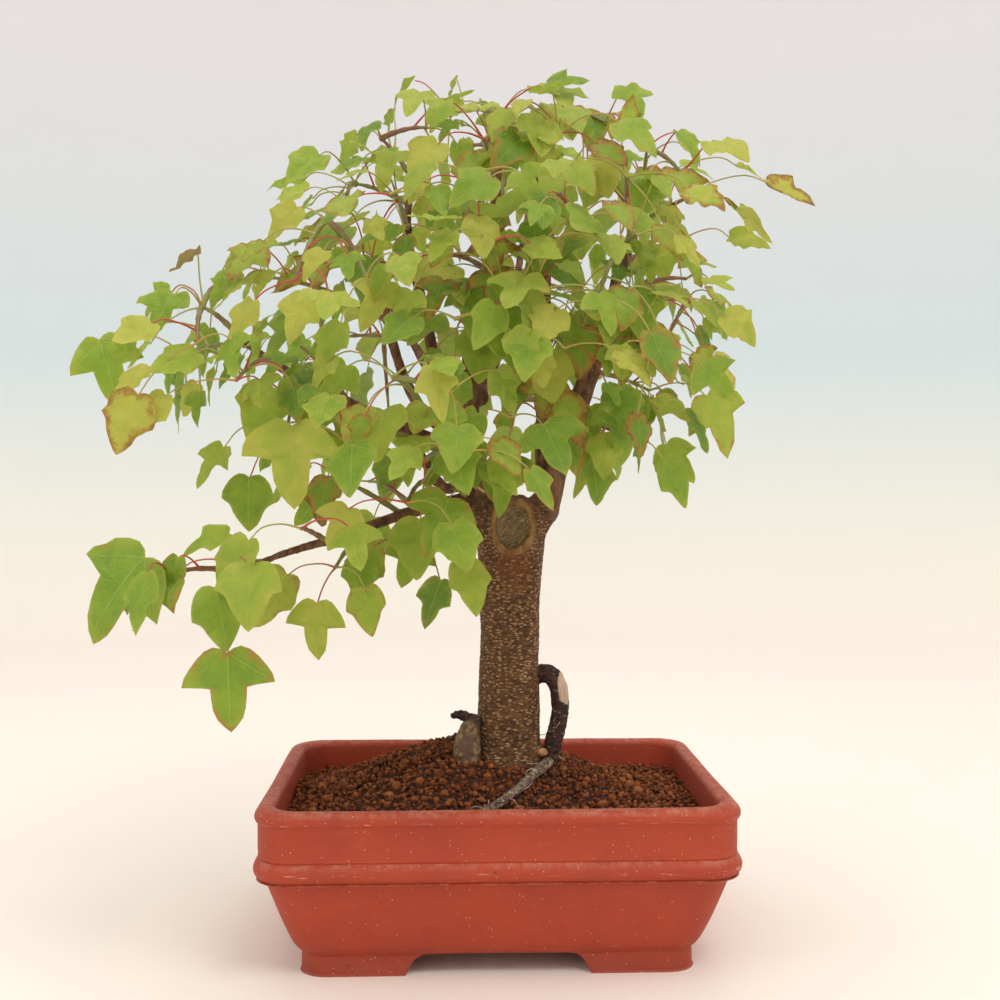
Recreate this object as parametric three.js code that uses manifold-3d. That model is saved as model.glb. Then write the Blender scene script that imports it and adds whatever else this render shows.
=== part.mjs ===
// Trident maple bonsai in a rectangular unglazed clay pot.
// Millimetres, +Z up, +X to the viewer's right, -Y towards the viewer.
// The plant is drawn about the centre of the pot's base; the last lines move the whole
// object so that its origin is the bottom centre of its bounding box.
import * as THREE from "three";
import { mergeVertices } from "three/addons/utils/BufferGeometryUtils.js";
import Module from "manifold-3d";

const wasm = await Module();
wasm.setup();

// ---- Driving dimensions ----------------------------------------------------------------
// Pot
const POT_LENGTH = 200;
const POT_WIDTH = 150;
const POT_HEIGHT = 72;
const CORNER_RADIUS = 20;
const RIM_WALL = 7.5;
const LIP_ROUND = 1.8;
const NECK_INSET = 1;
const BAND_BULGE = 0.8;
const BAND_HEIGHT = 10.5;
const NECK_HEIGHT = 19.5;
const FOOT_HEIGHT = 9;
const FOOT_INSET = 17.3;
const FOOT_WALL = 13;
const FOOT_GAP_HALF = 34;
const FOOT_GAP_SPLAY = 6;
const SIDE_GAP_HALF = 22;
const FLOOR_THICKNESS = 7;
const FLOOR_INSET = 24;
const DRAIN_DIAMETER = 16;
const DRAIN_SPACING = 80;

// Drain screens and the wire staples that hold them
const SCREEN_SIZE = 25;
const SCREEN_THICKNESS = 1;
const SCREEN_HOLES = 4;
const SCREEN_BAR = 1.8;
const WIRE_RADIUS = 0.6;
const STAPLE_TAIL = 6;

// Soil
const WATERING_SPACE = 12;
const MOUND_RISE = 26;
const MOUND_CENTRE = [-8, 8];
const MOUND_REACH = [105, 68];

// Tree
const TRUNK_X = 6.3;
const TRUNK_RADIUS = 14.2;
const TRUNK_HEIGHT = 94;
const TRUNK_LEAN = 1.7;
const SCAR_HALF_WIDTH = 7.5;
const SCAR_HALF_HEIGHT = 9.5;
const ROOT_RADIUS = 4.4;
const SURFACE_ROOT_RADIUS = 2.3;

// Foliage
const STEM_RADIUS = 1.2;
const STEM_TIP_RADIUS = 0.6;
const PETIOLE_RADIUS = 0.5;
const LEAF_LENGTH = 27;
const LEAF_THICKNESS = 0.8;
const INTERNODE = 28;
const BARE_SHARE = 0.38;
const PETIOLE_SHORTEST = 14;
const PETIOLE_LONGEST = 30;
const STEM_LIFTS = [0.14, 0.24, 0.05, 0.32, -0.04];

const CLEARANCE = 0.3;
const SMALLEST_EDGE = 0.01;

// ---- Limbs: centre lines from the fork of the trunk, and the radii along them ------------
const LIMBS = {
  leader: {
    radii: [8.5, 8, 7.5, 7, 5, 3.6, 3, 2.4, 1.6],
    points: [[-7, 2, 8], [-13, 4, 24], [-20, 8, 47], [-21, 10, 71], [-15, 8, 94], [-9, 6, 114],
      [-8, 4, 139], [-7, 2, 166], [-4, 0, 190]],
  },
  right_limb: {
    radii: [7.5, 6.5, 3.8, 3.3, 2.8, 2.4, 1.9, 1.4],
    points: [[7, -2, 8], [16, -6, 23], [23, -4, 45], [33, -2, 69], [41, 0, 95], [45, 2, 114],
      [54, 4, 137], [60, 6, 161]],
  },
  right_front: {
    radii: [4, 2.6, 2.2, 1.9, 1.6, 1.3],
    points: [[16, -6, 23], [20, -14, 47], [26, -18, 67], [35, -20, 89], [41, -22, 105], [44, -26, 125]],
  },
  upright: {
    radii: [4, 3, 2.8, 2.5, 2.2, 1.9, 1.4],
    points: [[15, -4, 23], [14, 4, 47], [15, 8, 75], [16, 8, 108], [17, 6, 139], [17, 4, 171],
      [18, 2, 189]],
  },
  right_back: {
    radii: [3.8, 2.8, 2.3, 1.8, 1.4],
    points: [[15, 0, 23], [22, 20, 45], [35, 40, 72], [50, 60, 99], [65, 75, 126]],
  },
  left_upright: {
    radii: [4, 3.2, 2.8, 2.4, 2, 1.4],
    points: [[-21, 10, 61], [-33, 2, 81], [-38, -4, 101], [-43, -10, 123], [-47, -14, 144],
      [-45, -16, 166]],
  },
  left_reach: {
    radii: [3.5, 2.8, 2.5, 2.2, 1.8, 1.4],
    points: [[-21, 8, 52], [-37, -10, 60], [-47, -24, 75], [-53, -36, 93], [-56, -44, 107],
      [-65, -54, 122]],
  },
  left_mid: {
    radii: [3.6, 3, 2.5, 2, 1.4],
    points: [[-20, 8, 45], [-51, -4, 57], [-80, -24, 70], [-104, -40, 83], [-117, -50, 94]],
  },
  low_front: {
    radii: [3.2, 2.5, 2.2, 1.9, 1.4],
    points: [[-17, 6, 34], [-29, -20, 29], [-36, -44, 36], [-42, -62, 49], [-39, -72, 62]],
  },
  low_left: {
    radii: [4, 3, 2.5, 2.1, 1.7, 1.4],
    points: [[-15, 2, 24], [-33, -14, 22], [-54, -34, 16], [-74, -50, 9], [-95, -62, 3],
      [-114, -70, -4]],
  },
  back_left: {
    radii: [3.6, 2.8, 2.2, 1.5],
    points: [[-21, 12, 61], [-33, 40, 77], [-48, 62, 104], [-64, 80, 131]],
  },
  back_right: {
    radii: [3.6, 2.8, 2.2, 1.5],
    points: [[-14, 12, 71], [-4, 45, 97], [5, 70, 130], [11, 85, 164]],
  },
};

// ---- Leafy shoots ------------------------------------------------------------------------
// The limb, the share along it, the tip of each green stem and, where leaves hang clear on
// long petioles, their share along the first stem, the base of the blade and its tip.
const SHOOTS = [
  ["leader", 0.97, [[-6, -10, 196], [-28, 14, 202]]],
  ["leader", 0.86, [[-14, -54, 174]]],
  ["leader", 0.8, [[8, 52, 206], [-24, 62, 198]]],
  ["leader", 0.7, [[-20, -80, 152]]],
  ["leader", 0.58, [[-12, -90, 125], [-34, -86, 120]]],
  ["leader", 0.48, [[-26, -84, 96]]],
  ["left_upright", 1, [[-58, -22, 182], [-38, -48, 180]]],
  ["left_upright", 0.9, [[-70, -14, 164], [-78, 32, 164]]],
  ["left_upright", 0.8, [[-52, -76, 146]]],
  ["left_upright", 0.6, [[-86, -8, 136]]],
  ["left_reach", 1, [[-78, -70, 137], [-60, -96, 110], [-88, -88, 110]]],
  ["left_reach", 0.7, [[-106, -30, 120]]],
  ["left_mid", 1, [[-130, -54, 104], [-126, -86, 86], [-130, -24, 116]]],
  ["left_mid", 0.88, [[-140, -42, 86]], [[1, [-173, -50, 91], [-162, -54, 58]]]],
  ["left_mid", 0.75, [[-112, -80, 72]]],
  ["left_mid", 0.6, [[-94, -62, 56]], [[1, [-110, -60, 34], [-112, -62, 12]]]],
  ["left_mid", 0.35, [[-89, 40, 70], [-103, 16, 98]]],
  ["low_front", 1, [[-50, -96, 72], [-28, -98, 66]]],
  ["low_front", 0.75, [[-70, -88, 49]], [[1, [-89, -90, 54], [-90, -96, 22]]]],
  ["low_front", 0.6, [[-26, -94, 43]]],
  ["low_front", 0.4, [[-45, -82, 24]]],
  ["low_front", 0.25, [[-14, -56, 28]]],
  ["low_left", 1, [[-138, -80, -4]], [
    [1, [-147, -84, 3], [-174, -90, -26]],
    [0.9, [-145, -84, -9], [-152, -86, -15]],
    [0.3, [-115, -80, 12], [-135, -84, 6]],
    [0.55, [-134, -84, 3], [-139, -86, -12]],
  ]],
  ["low_left", 0.9, [[-114, -84, 0]], [
    [1, [-118, -94, -8], [-111, -98, -32]],
    [0.75, [-113, -96, -33], [-111, -100, -65]],
  ]],
  ["low_left", 0.65, [[-86, -86, 14]]],
  ["low_left", 0.5, [[-75, -60, -3]], [[1, [-82, -66, -17], [-84, -68, -41]]]],
  ["low_left", 0.35, [[-77, -40, 34]]],
  ["low_left", 0.2, [[-42, -46, 8]], [
    [1, [-32, -62, -8], [-39, -64, -29]],
    [0.8, [-43, -52, 7], [-48, -54, -13]],
    [0.6, [-65, -58, 1], [-66, -60, -18]],
  ]],
  ["upright", 1, [[23, 0, 200], [41, -15, 192], [42, 52, 202]]],
  ["upright", 0.9, [[17, -62, 174]]],
  ["upright", 0.72, [[3, -82, 153], [22, -90, 134]]],
  ["upright", 0.5, [[4, -90, 104]]],
  ["upright", 0.4, [[16, -92, 84]]],
  ["upright", 0.28, [[-4, -76, 58]]],
  ["right_limb", 0.93, [[78, -18, 158]], [[1, [113, -20, 165], [140, -20, 156]]]],
  ["right_limb", 1, [[62, 0, 184], [74, -22, 168]]],
  ["right_limb", 0.88, [[44, -66, 156]]],
  ["right_limb", 0.82, [[78, 20, 144], [68, 58, 184]]],
  ["right_limb", 0.68, [[80, -5, 114], [78, 34, 102]]],
  ["right_limb", 0.5, [[64, 4, 74]], [
    [0.6, [34, 4, 53], [46, 2, 33]],
    [0.8, [72, 4, 49], [84, 0, 31]],
    [1, [88, -10, 71], [104, -12, 44]],
  ]],
  ["right_front", 1, [[46, -80, 130], [29, -92, 102]]],
  ["right_front", 0.85, [[57, -68, 106], [72, -46, 118]]],
  ["right_front", 0.6, [[54, -72, 85]]],
  ["right_front", 0.33, [[42, -35, 54]]],
  ["right_back", 1, [[76, 78, 138], [54, 90, 158]]],
  ["right_back", 0.65, [[70, 84, 94], [49, 78, 60]]],
  ["back_left", 1, [[-82, 82, 150], [-55, 98, 160]]],
  ["back_left", 0.65, [[-86, 84, 106], [-60, 86, 68]]],
  ["back_right", 1, [[14, 88, 194], [-12, 96, 178]]],
  ["back_right", 0.7, [[31, 100, 134]]],
  ["back_right", 0.4, [[-12, 100, 106], [12, 88, 76]]],
  ["low_left", 0.3, [[-66, 20, 32]]],
];

// ---- Small helpers -----------------------------------------------------------------------
const vector = ([x, y, z]) => new THREE.Vector3(x, y, z);
const UP = new THREE.Vector3(0, 0, 1);
const mix = (a, b, share) => a + (b - a) * share;

// The value at a share along a list of evenly spaced values.
function along(values, share) {
  const place = share * (values.length - 1);
  const index = Math.min(Math.floor(place), values.length - 2);
  return mix(values[index], values[index + 1], place - index);
}

// A closed mesh with only its positions, shared vertices merged, as a solid.
function toSolid(geometry) {
  const bare = geometry.index ? geometry.toNonIndexed() : geometry.clone();
  bare.deleteAttribute("normal");
  bare.deleteAttribute("uv");
  const merged = mergeVertices(bare, 1e-5);
  const positions = merged.attributes.position.array;
  const triangles = [];
  for (let i = 0; i < merged.index.count; i += 3) {
    const [a, b, c] = [0, 1, 2].map((corner) => merged.index.getX(i + corner));
    if (a !== b && b !== c && c !== a) triangles.push(a, b, c);
  }
  return new wasm.Manifold(new wasm.Mesh({
    numProp: 3,
    vertProperties: new Float32Array(positions),
    triVerts: new Uint32Array(triangles),
  }));
}

// A lathed skin whose rings are moved: place(ring, column) gives each point.
// The first and last rings are single points, which close its ends.
function skin(rings, columns, place) {
  const profile = [];
  for (let ring = 0; ring < rings; ring++) {
    const pole = ring === 0 || ring === rings - 1;
    profile.push(new THREE.Vector2(pole ? 0 : 1, ring));
  }
  const geometry = new THREE.LatheGeometry(profile, columns);
  const position = geometry.attributes.position;
  for (let column = 0; column <= columns; column++) {
    for (let ring = 0; ring < rings; ring++) {
      const point = place(ring, column % columns);
      position.setXYZ(column * rings + ring, point.x, point.y, point.z);
    }
  }
  return toSolid(geometry);
}

const prism = (shape, depth) => new THREE.ExtrudeGeometry(shape, { depth, bevelEnabled: false });

function box(sizeX, sizeY, bottom, top, x = 0, y = 0) {
  const geometry = new THREE.BoxGeometry(sizeX, sizeY, top - bottom);
  return toSolid(geometry.translate(x, y, (bottom + top) / 2));
}

function upright(radius, bottom, top, x, sides = 20) {
  const geometry = new THREE.CylinderGeometry(radius, radius, top - bottom, sides);
  return toSolid(geometry.rotateX(Math.PI / 2).translate(x, 0, (bottom + top) / 2));
}

// ---- Pot -----------------------------------------------------------------------------------
const CORNER_STEPS = 4;
const COLUMNS = 4 * (CORNER_STEPS + 1);
const FLOOR_TOP = FOOT_HEIGHT + FLOOR_THICKNESS;
const BAND_TOP = POT_HEIGHT - NECK_HEIGHT;
const BAND_BOTTOM = BAND_TOP - BAND_HEIGHT;

// A point of the pot's rounded-rectangle plan, drawn in by an inset.
function planPoint(inset, z, column) {
  const radius = Math.max(CORNER_RADIUS - inset * 0.5, 4);
  const corner = Math.floor(column / (CORNER_STEPS + 1));
  const step = column % (CORNER_STEPS + 1);
  const angle = (corner + step / CORNER_STEPS) * Math.PI / 2;
  const sideX = corner === 0 || corner === 3 ? 1 : -1;
  const sideY = corner < 2 ? 1 : -1;
  return new THREE.Vector3(
    sideX * (POT_LENGTH / 2 - inset - radius) + radius * Math.cos(angle),
    sideY * (POT_WIDTH / 2 - inset - radius) + radius * Math.sin(angle),
    z,
  );
}

// Rows of [inset, height] from the bottom up, closed by a point at each end.
function planSolid(rows) {
  const rings = rows.length + 2;
  return skin(rings, COLUMNS, (ring, column) => {
    if (ring === 0) return new THREE.Vector3(0, 0, rows[0][1]);
    if (ring === rings - 1) return new THREE.Vector3(0, 0, rows[rows.length - 1][1]);
    const [inset, z] = rows[ring - 1];
    return planPoint(inset, z, column);
  });
}

// The lower wall curves in from the band to the feet; share 0 is at the feet.
const WALL_FOOT_INSET = FOOT_INSET - 1.7;
const WALL_TOP_INSET = 3.5;
const wallInset = (share) => mix(WALL_FOOT_INSET, WALL_TOP_INSET, Math.pow(share, 0.8));
const wallRows = [0, 0.2, 0.4, 0.6, 0.8, 1].map((share) => [
  wallInset(share),
  mix(FOOT_HEIGHT + 1.5, BAND_BOTTOM, share),
]);

// Rows of the hollow from the floor to just above the rim, for a gap kept to the clay.
const hollowRows = (gap, top) => [
  [FLOOR_INSET + gap, FLOOR_TOP + gap],
  [mix(FLOOR_INSET, RIM_WALL, 0.45) + gap, mix(FLOOR_TOP, BAND_BOTTOM, 0.35)],
  [mix(FLOOR_INSET, RIM_WALL, 0.8) + gap, BAND_BOTTOM],
  [RIM_WALL + gap, top],
];

function makePot() {
  const outside = planSolid([
    [FOOT_INSET, 0],
    [FOOT_INSET, FOOT_HEIGHT],
    ...wallRows,
    [0, BAND_BOTTOM + 0.8],
    [-BAND_BULGE, BAND_BOTTOM + 3],
    [-BAND_BULGE, BAND_TOP - 3],
    [0, BAND_TOP - 0.8],
    [NECK_INSET, BAND_TOP],
    [NECK_INSET, POT_HEIGHT - 5],
    [0, POT_HEIGHT - 2.5],
    [LIP_ROUND * 0.3, POT_HEIGHT - LIP_ROUND * 0.5],
    [LIP_ROUND, POT_HEIGHT],
  ]);
  const lip = planSolid([
    [RIM_WALL, POT_HEIGHT - LIP_ROUND],
    [RIM_WALL - LIP_ROUND, POT_HEIGHT],
    [RIM_WALL - LIP_ROUND, POT_HEIGHT + 2],
  ]);
  const underside = planSolid([[FOOT_INSET + FOOT_WALL, -1], [FOOT_INSET + FOOT_WALL + 1, FOOT_HEIGHT]]);
  let pot = outside.subtract(planSolid(hollowRows(0, POT_HEIGHT + 1)));
  pot = pot.subtract(lip).subtract(underside);
  pot = pot.subtract(footGap(FOOT_GAP_HALF, POT_WIDTH));
  pot = pot.subtract(footGap(SIDE_GAP_HALF, POT_LENGTH).rotate([0, 0, 90]));
  for (const side of [-1, 1]) {
    const x = side * DRAIN_SPACING / 2;
    pot = pot.subtract(upright(DRAIN_DIAMETER / 2, FOOT_HEIGHT - 1, FLOOR_TOP + 1, x));
  }
  return pot;
}

// The opening between two feet, wider at the ground, cut right through the foot ring.
function footGap(halfWidth, reach) {
  const splay = halfWidth + FOOT_GAP_SPLAY;
  const shape = new THREE.Shape([
    new THREE.Vector2(-splay - 1, -1),
    new THREE.Vector2(splay + 1, -1),
    new THREE.Vector2(splay - 1, 2.5),
    new THREE.Vector2(halfWidth, FOOT_HEIGHT),
    new THREE.Vector2(-halfWidth, FOOT_HEIGHT),
    new THREE.Vector2(1 - splay, 2.5),
  ]);
  return toSolid(prism(shape, reach).translate(0, 0, -reach / 2).rotateX(Math.PI / 2));
}

// ---- Drain screens and their staples ---------------------------------------------------------
const SCREEN_BOTTOM = FLOOR_TOP + CLEARANCE;
const SCREEN_TOP = SCREEN_BOTTOM + SCREEN_THICKNESS;
const HOLE_PITCH = (SCREEN_SIZE - SCREEN_BAR) / SCREEN_HOLES;

function makeScreen(x) {
  let screen = box(SCREEN_SIZE, SCREEN_SIZE, SCREEN_BOTTOM, SCREEN_TOP, x);
  const opening = HOLE_PITCH - SCREEN_BAR;
  for (let row = 0; row < SCREEN_HOLES; row++) {
    for (let column = 0; column < SCREEN_HOLES; column++) {
      const [holeX, holeY] = [column, row].map((place) => (place - (SCREEN_HOLES - 1) / 2) * HOLE_PITCH);
      screen = screen.subtract(
        box(opening, opening, SCREEN_BOTTOM - 1, SCREEN_TOP + 1, x + holeX, holeY),
      );
    }
  }
  return screen;
}

// The staple lies over the screen, goes down through two of its holes and the drain hole,
// and its ends are bent outwards under the floor.
function makeStaple(x) {
  const top = SCREEN_TOP + CLEARANCE + WIRE_RADIUS;
  const bottom = FOOT_HEIGHT - CLEARANCE - WIRE_RADIUS;
  const leg = HOLE_PITCH / 2;
  const half = [
    [0, top], [leg - 0.9, top], [leg, top - 1], [leg, mix(bottom, top, 0.5)],
    [leg, bottom + 1.6], [leg + 1.2, bottom], [leg + STAPLE_TAIL, bottom - 0.4],
  ];
  const left = half.slice(1).reverse().map(([reach, z]) => [-reach, z]);
  const points = [...left, ...half].map(([reach, z]) => new THREE.Vector3(x + reach, -leg, z));
  return rod(points, [WIRE_RADIUS], 6, 1);
}

// ---- Soil ------------------------------------------------------------------------------------
const SOIL_EDGE = POT_HEIGHT - WATERING_SPACE;

// Height of the soil's surface: a low mound that is highest behind the trunk.
function soilHeight(x, y) {
  const share = Math.min(1, Math.hypot(
    (x - MOUND_CENTRE[0]) / MOUND_REACH[0],
    (y - MOUND_CENTRE[1]) / MOUND_REACH[1],
  ));
  return SOIL_EDGE + MOUND_RISE * Math.cos(share * Math.PI / 2) ** 2;
}

function makeSoil(rootSpace) {
  const rings = 9;
  const columns = 20;
  const mound = skin(rings, columns, (ring, column) => {
    const angle = column / columns * Math.PI * 2;
    const reach = ring < 2 ? 1.6 : 1.6 * (rings - 1 - ring) / (rings - 3);
    const share = ring === 0 || ring === rings - 1 ? 0 : reach;
    const x = MOUND_CENTRE[0] + MOUND_REACH[0] * share * Math.cos(angle);
    const y = MOUND_CENTRE[1] + MOUND_REACH[1] * share * Math.sin(angle);
    return new THREE.Vector3(x, y, ring < 2 ? 0 : soilHeight(x, y));
  });
  let soil = planSolid(hollowRows(CLEARANCE, POT_HEIGHT + MOUND_RISE)).intersect(mound);
  const pocket = SCREEN_SIZE + 2 * CLEARANCE;
  const pocketTop = SCREEN_TOP + 2 * (CLEARANCE + WIRE_RADIUS);
  for (const side of [-1, 1]) {
    soil = soil.subtract(box(pocket, pocket, 0, pocketTop, side * DRAIN_SPACING / 2));
  }
  return soil.subtract(rootSpace);
}

// ---- Wood ------------------------------------------------------------------------------------
const SOIL_AT_TRUNK = soilHeight(TRUNK_X, -TRUNK_RADIUS);
const FORK = new THREE.Vector3(TRUNK_X + TRUNK_LEAN, 0, SOIL_AT_TRUNK + TRUNK_HEIGHT);

// A round rod bent along a curve, with its ends closed by low cones.
function rod(points, radii, sides, stepsPerSpan) {
  const curve = new THREE.CatmullRomCurve3(points, false, "catmullrom", 0.5);
  const steps = (points.length - 1) * stepsPerSpan;
  const radiusAt = (share) => (radii.length > 1 ? along(radii, share) : radii[0]);
  const frames = [];
  let across = new THREE.Vector3(0.31, 0.87, 0.39);
  for (let step = 0; step <= steps; step++) {
    const tangent = curve.getTangent(step / steps);
    across = across.clone().addScaledVector(tangent, -across.dot(tangent)).normalize();
    frames.push([curve.getPoint(step / steps), tangent, across, tangent.clone().cross(across)]);
  }
  return skin(steps + 3, sides, (ring, column) => {
    const step = THREE.MathUtils.clamp(ring - 1, 0, steps);
    const [centre, tangent, u, v] = frames[step];
    const radius = radiusAt(step / steps);
    if (ring === 0) return centre.clone().addScaledVector(tangent, -radius * 0.4);
    if (ring === steps + 2) return centre.clone().addScaledVector(tangent, radius * 0.4);
    const angle = column / sides * Math.PI * 2;
    return centre.clone()
      .addScaledVector(u, radius * Math.cos(angle))
      .addScaledVector(v, radius * Math.sin(angle));
  });
}

// The trunk from its root crown under the soil to the swollen head behind the old cut.
function trunkColumn(gap) {
  const low = SOIL_AT_TRUNK - 18;
  const rows = [
    [0, 1.25], [0.1, 1.18], [0.2, 1.04], [0.32, 0.98], [0.5, 0.95], [0.68, 0.96], [0.8, 1.02],
    [0.9, 1.12], [0.96, 1.04], [1, 0.7],
  ];
  const top = FORK.z + 22;
  const columns = 16;
  return skin(rows.length + 2, columns, (ring, column) => {
    const pole = ring === 0 || ring === rows.length + 1;
    const [share, swell] = rows[THREE.MathUtils.clamp(ring - 1, 0, rows.length - 1)];
    const angle = column / columns * Math.PI * 2;
    const radius = pole ? 0 : TRUNK_RADIUS * swell + gap;
    const cap = ring === 0 ? -gap - 4 : ring === rows.length + 1 ? gap + 3 : 0;
    return new THREE.Vector3(
      TRUNK_X + TRUNK_LEAN * share + radius * Math.cos(angle),
      radius * Math.sin(angle),
      mix(low, top, share) + cap,
    );
  });
}

// The old roots: an arched one on the right, one along the soil, and a knob on the left.
function roots(gap) {
  const side = TRUNK_X + TRUNK_RADIUS;
  const front = -TRUNK_RADIUS;
  const bed = (x, y, sink) => new THREE.Vector3(x, y, soilHeight(x, y) + sink);
  const arch = [
    new THREE.Vector3(side - 6, 3, SOIL_AT_TRUNK + 34),
    new THREE.Vector3(side + 3, 0, SOIL_AT_TRUNK + 38),
    new THREE.Vector3(side + 8.5, -3, SOIL_AT_TRUNK + 33),
    new THREE.Vector3(side + 9.5, -4, SOIL_AT_TRUNK + 21),
    new THREE.Vector3(side + 7, -4, SOIL_AT_TRUNK + 9),
    new THREE.Vector3(side + 4, -3, SOIL_AT_TRUNK - 3),
    new THREE.Vector3(side - 4, -2, SOIL_AT_TRUNK - 10),
  ];
  const surface = [
    bed(side + 5, front + 10.2, -2), bed(side - 1, front - 3.8, 1.2), bed(side - 10, front - 15.8, 1.2),
    bed(side - 21, front - 26.8, 1.2), bed(side - 34, front - 35.8, 0.6), bed(side - 39, front - 39.8, -3),
  ];
  const knob = [
    new THREE.Vector3(TRUNK_X - TRUNK_RADIUS + 4, -5, SOIL_AT_TRUNK - 12),
    new THREE.Vector3(TRUNK_X - TRUNK_RADIUS - 5, -9, SOIL_AT_TRUNK + 4),
    new THREE.Vector3(TRUNK_X - TRUNK_RADIUS - 4, -8, SOIL_AT_TRUNK + 13),
    new THREE.Vector3(TRUNK_X - TRUNK_RADIUS - 3, -6, SOIL_AT_TRUNK + 20),
  ];
  const radius = ROOT_RADIUS;
  const thin = SURFACE_ROOT_RADIUS;
  return [
    rod(arch, [radius * 0.9, radius, radius, radius * 0.95, radius * 0.9, radius, radius]
      .map((value) => value + gap), 8, 2),
    rod(surface, [thin * 1.5, thin * 1.2, thin, thin * 0.9, thin * 0.7, thin * 0.5]
      .map((value) => value + gap), 6, 2),
    rod(knob, [7, 6.2, 5, 2.5].map((value) => value + gap), 8, 2),
  ];
}

const limbCurve = (name) => new THREE.CatmullRomCurve3(
  LIMBS[name].points.map((point) => vector(point).add(FORK)), false, "catmullrom", 0.5,
);

function limbs(gap) {
  return Object.values(LIMBS).map(({ points, radii }) => rod(
    points.map((point) => vector(point).add(FORK)),
    radii.map((radius) => radius + gap),
    radii[0] > 5 ? 8 : 6,
    1,
  ));
}

// The healed cut on the front of the head: a ring of callus round a hollow face.
function scarRing() {
  const ring = new THREE.TorusGeometry(1, 0.24, 5, 14);
  ring.rotateX(Math.PI / 2 - 0.12);
  ring.scale(SCAR_HALF_WIDTH + 1.5, 8, SCAR_HALF_HEIGHT + 1.5);
  return toSolid(ring.translate(FORK.x, FORK.y - TRUNK_RADIUS * 0.94, FORK.z + 12));
}

function scarHollow() {
  const face = new THREE.SphereGeometry(1, 12, 6);
  face.scale(SCAR_HALF_WIDTH, 3.5, SCAR_HALF_HEIGHT);
  return toSolid(face.translate(FORK.x, FORK.y - TRUNK_RADIUS * 1.12, FORK.z + 12));
}

const joined = (solids) => solids.reduce((sum, solid) => sum.add(solid));

// ---- Foliage ---------------------------------------------------------------------------------
// A repeatable stream of numbers from 0 to 1.
function stream(seed) {
  let state = seed;
  return () => {
    state = (state * 16807) % 2147483647;
    return state / 2147483647;
  };
}

const CROWN_CENTRE = vector([-12, 0, 85]).add(FORK);
const LIGHT = new THREE.Vector3(0, -0.75, 0.66);

// The blade's outline runs base, side lobe, notch, tip, notch, side lobe, in shares of its length.
const OUTLINE = [[0, -0.04], [0.54, 0.32], [0.3, 0.54], [0, 1], [-0.3, 0.54], [-0.54, 0.32]];
const PETIOLE_END = 0.3;

// A leaf: a thin blade on a three-sided petiole that tapers to a point inside it.
function leaf({ node, base, axis, normal, length }) {
  const side = axis.clone().cross(normal);
  const outline = new THREE.Shape(OUTLINE.map(([u, v]) => new THREE.Vector2(u * length, v * length)));
  const place = new THREE.Matrix4().makeBasis(side, axis, normal).setPosition(base);
  const plate = prism(outline, LEAF_THICKNESS).translate(0, 0, -LEAF_THICKNESS / 2);
  const blade = toSolid(plate.applyMatrix4(place));
  const end = base.clone().addScaledVector(axis, PETIOLE_END * length);
  const stalk = end.clone().sub(node).normalize();
  const stalkSide = stalk.clone().cross(normal).normalize();
  const stalkUp = stalkSide.clone().cross(stalk);
  const foot = [[-0.9, -0.5], [0.9, -0.5], [0, 1]].map(([u, v]) => node.clone()
    .addScaledVector(stalkSide, u * PETIOLE_RADIUS)
    .addScaledVector(stalkUp, v * PETIOLE_RADIUS));
  const petiole = skinOf([
    [foot[2], foot[1], foot[0]],
    ...[[0, 1], [1, 2], [2, 0]].map(([low, high]) => [foot[low], foot[high], end]),
  ]);
  return blade.add(petiole);
}

// A solid from a list of triangles, turned to face out if it was drawn inside out.
function skinOf(triangles) {
  let volume = 0;
  for (const [a, b, c] of triangles) volume += a.dot(b.clone().cross(c)) / 6;
  const geometry = new THREE.BufferGeometry();
  const corners = triangles.flatMap(([a, b, c]) => (volume > 0 ? [a, b, c] : [a, c, b]));
  geometry.setFromPoints(corners);
  return toSolid(geometry);
}

// How a blade hangs from the end of its petiole: it droops, and turns out and to the light.
function hang(node, base, petiole, random) {
  const outward = base.clone().sub(CROWN_CENTRE).normalize();
  const axis = petiole.clone().multiplyScalar(0.45)
    .addScaledVector(outward, 0.35)
    .addScaledVector(UP, -mix(0.4, 1.2, random()))
    .normalize();
  const jitter = new THREE.Vector3(mix(-1, 1, random()), mix(-1, 1, random()), mix(-1, 1, random()));
  const normal = outward.multiplyScalar(0.5).addScaledVector(LIGHT, 0.7).addScaledVector(jitter, 0.4);
  normal.addScaledVector(axis, -normal.dot(axis)).normalize();
  return { node, base, axis, normal };
}

// The shares of a stem at which leaves stand, from its tip down.
function nodeShares(length) {
  const shares = [];
  for (let share = 1; share > BARE_SHARE; share -= INTERNODE / length) shares.push(share);
  return shares;
}

// Opposite pairs of leaves down a stem from its tip, each pair a quarter turn on.
function stemLeaves(stem, shares, random) {
  const turn = random() * Math.PI;
  return shares.flatMap((share, pair) => {
    const node = stem.getPoint(share);
    const tangent = stem.getTangent(share);
    const u = tangent.clone().cross(UP).normalize();
    const v = u.clone().cross(tangent);
    return [0, 1].map((half) => {
      const angle = turn + (pair / 2 + half) * Math.PI + mix(-0.3, 0.3, random());
      const petiole = tangent.clone().multiplyScalar(0.45)
        .addScaledVector(u, 0.85 * Math.cos(angle))
        .addScaledVector(v, 0.85 * Math.sin(angle))
        .addScaledVector(UP, 0.15)
        .normalize();
      const reach = mix(PETIOLE_SHORTEST, PETIOLE_LONGEST, random());
      const base = node.clone().addScaledVector(petiole, reach).addScaledVector(UP, -0.12 * reach);
      const young = pair === 0 ? 0.85 : 1;
      const size = LEAF_LENGTH * young * mix(0.8, 1.2, random());
      return { ...hang(node, base, petiole, random), length: size };
    });
  });
}

function stemCurve(start, tip, lift) {
  const length = start.distanceTo(tip);
  const bend = start.clone().lerp(tip, 0.5).addScaledVector(UP, lift * length);
  return new THREE.QuadraticBezierCurve3(start, bend, tip);
}

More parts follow.
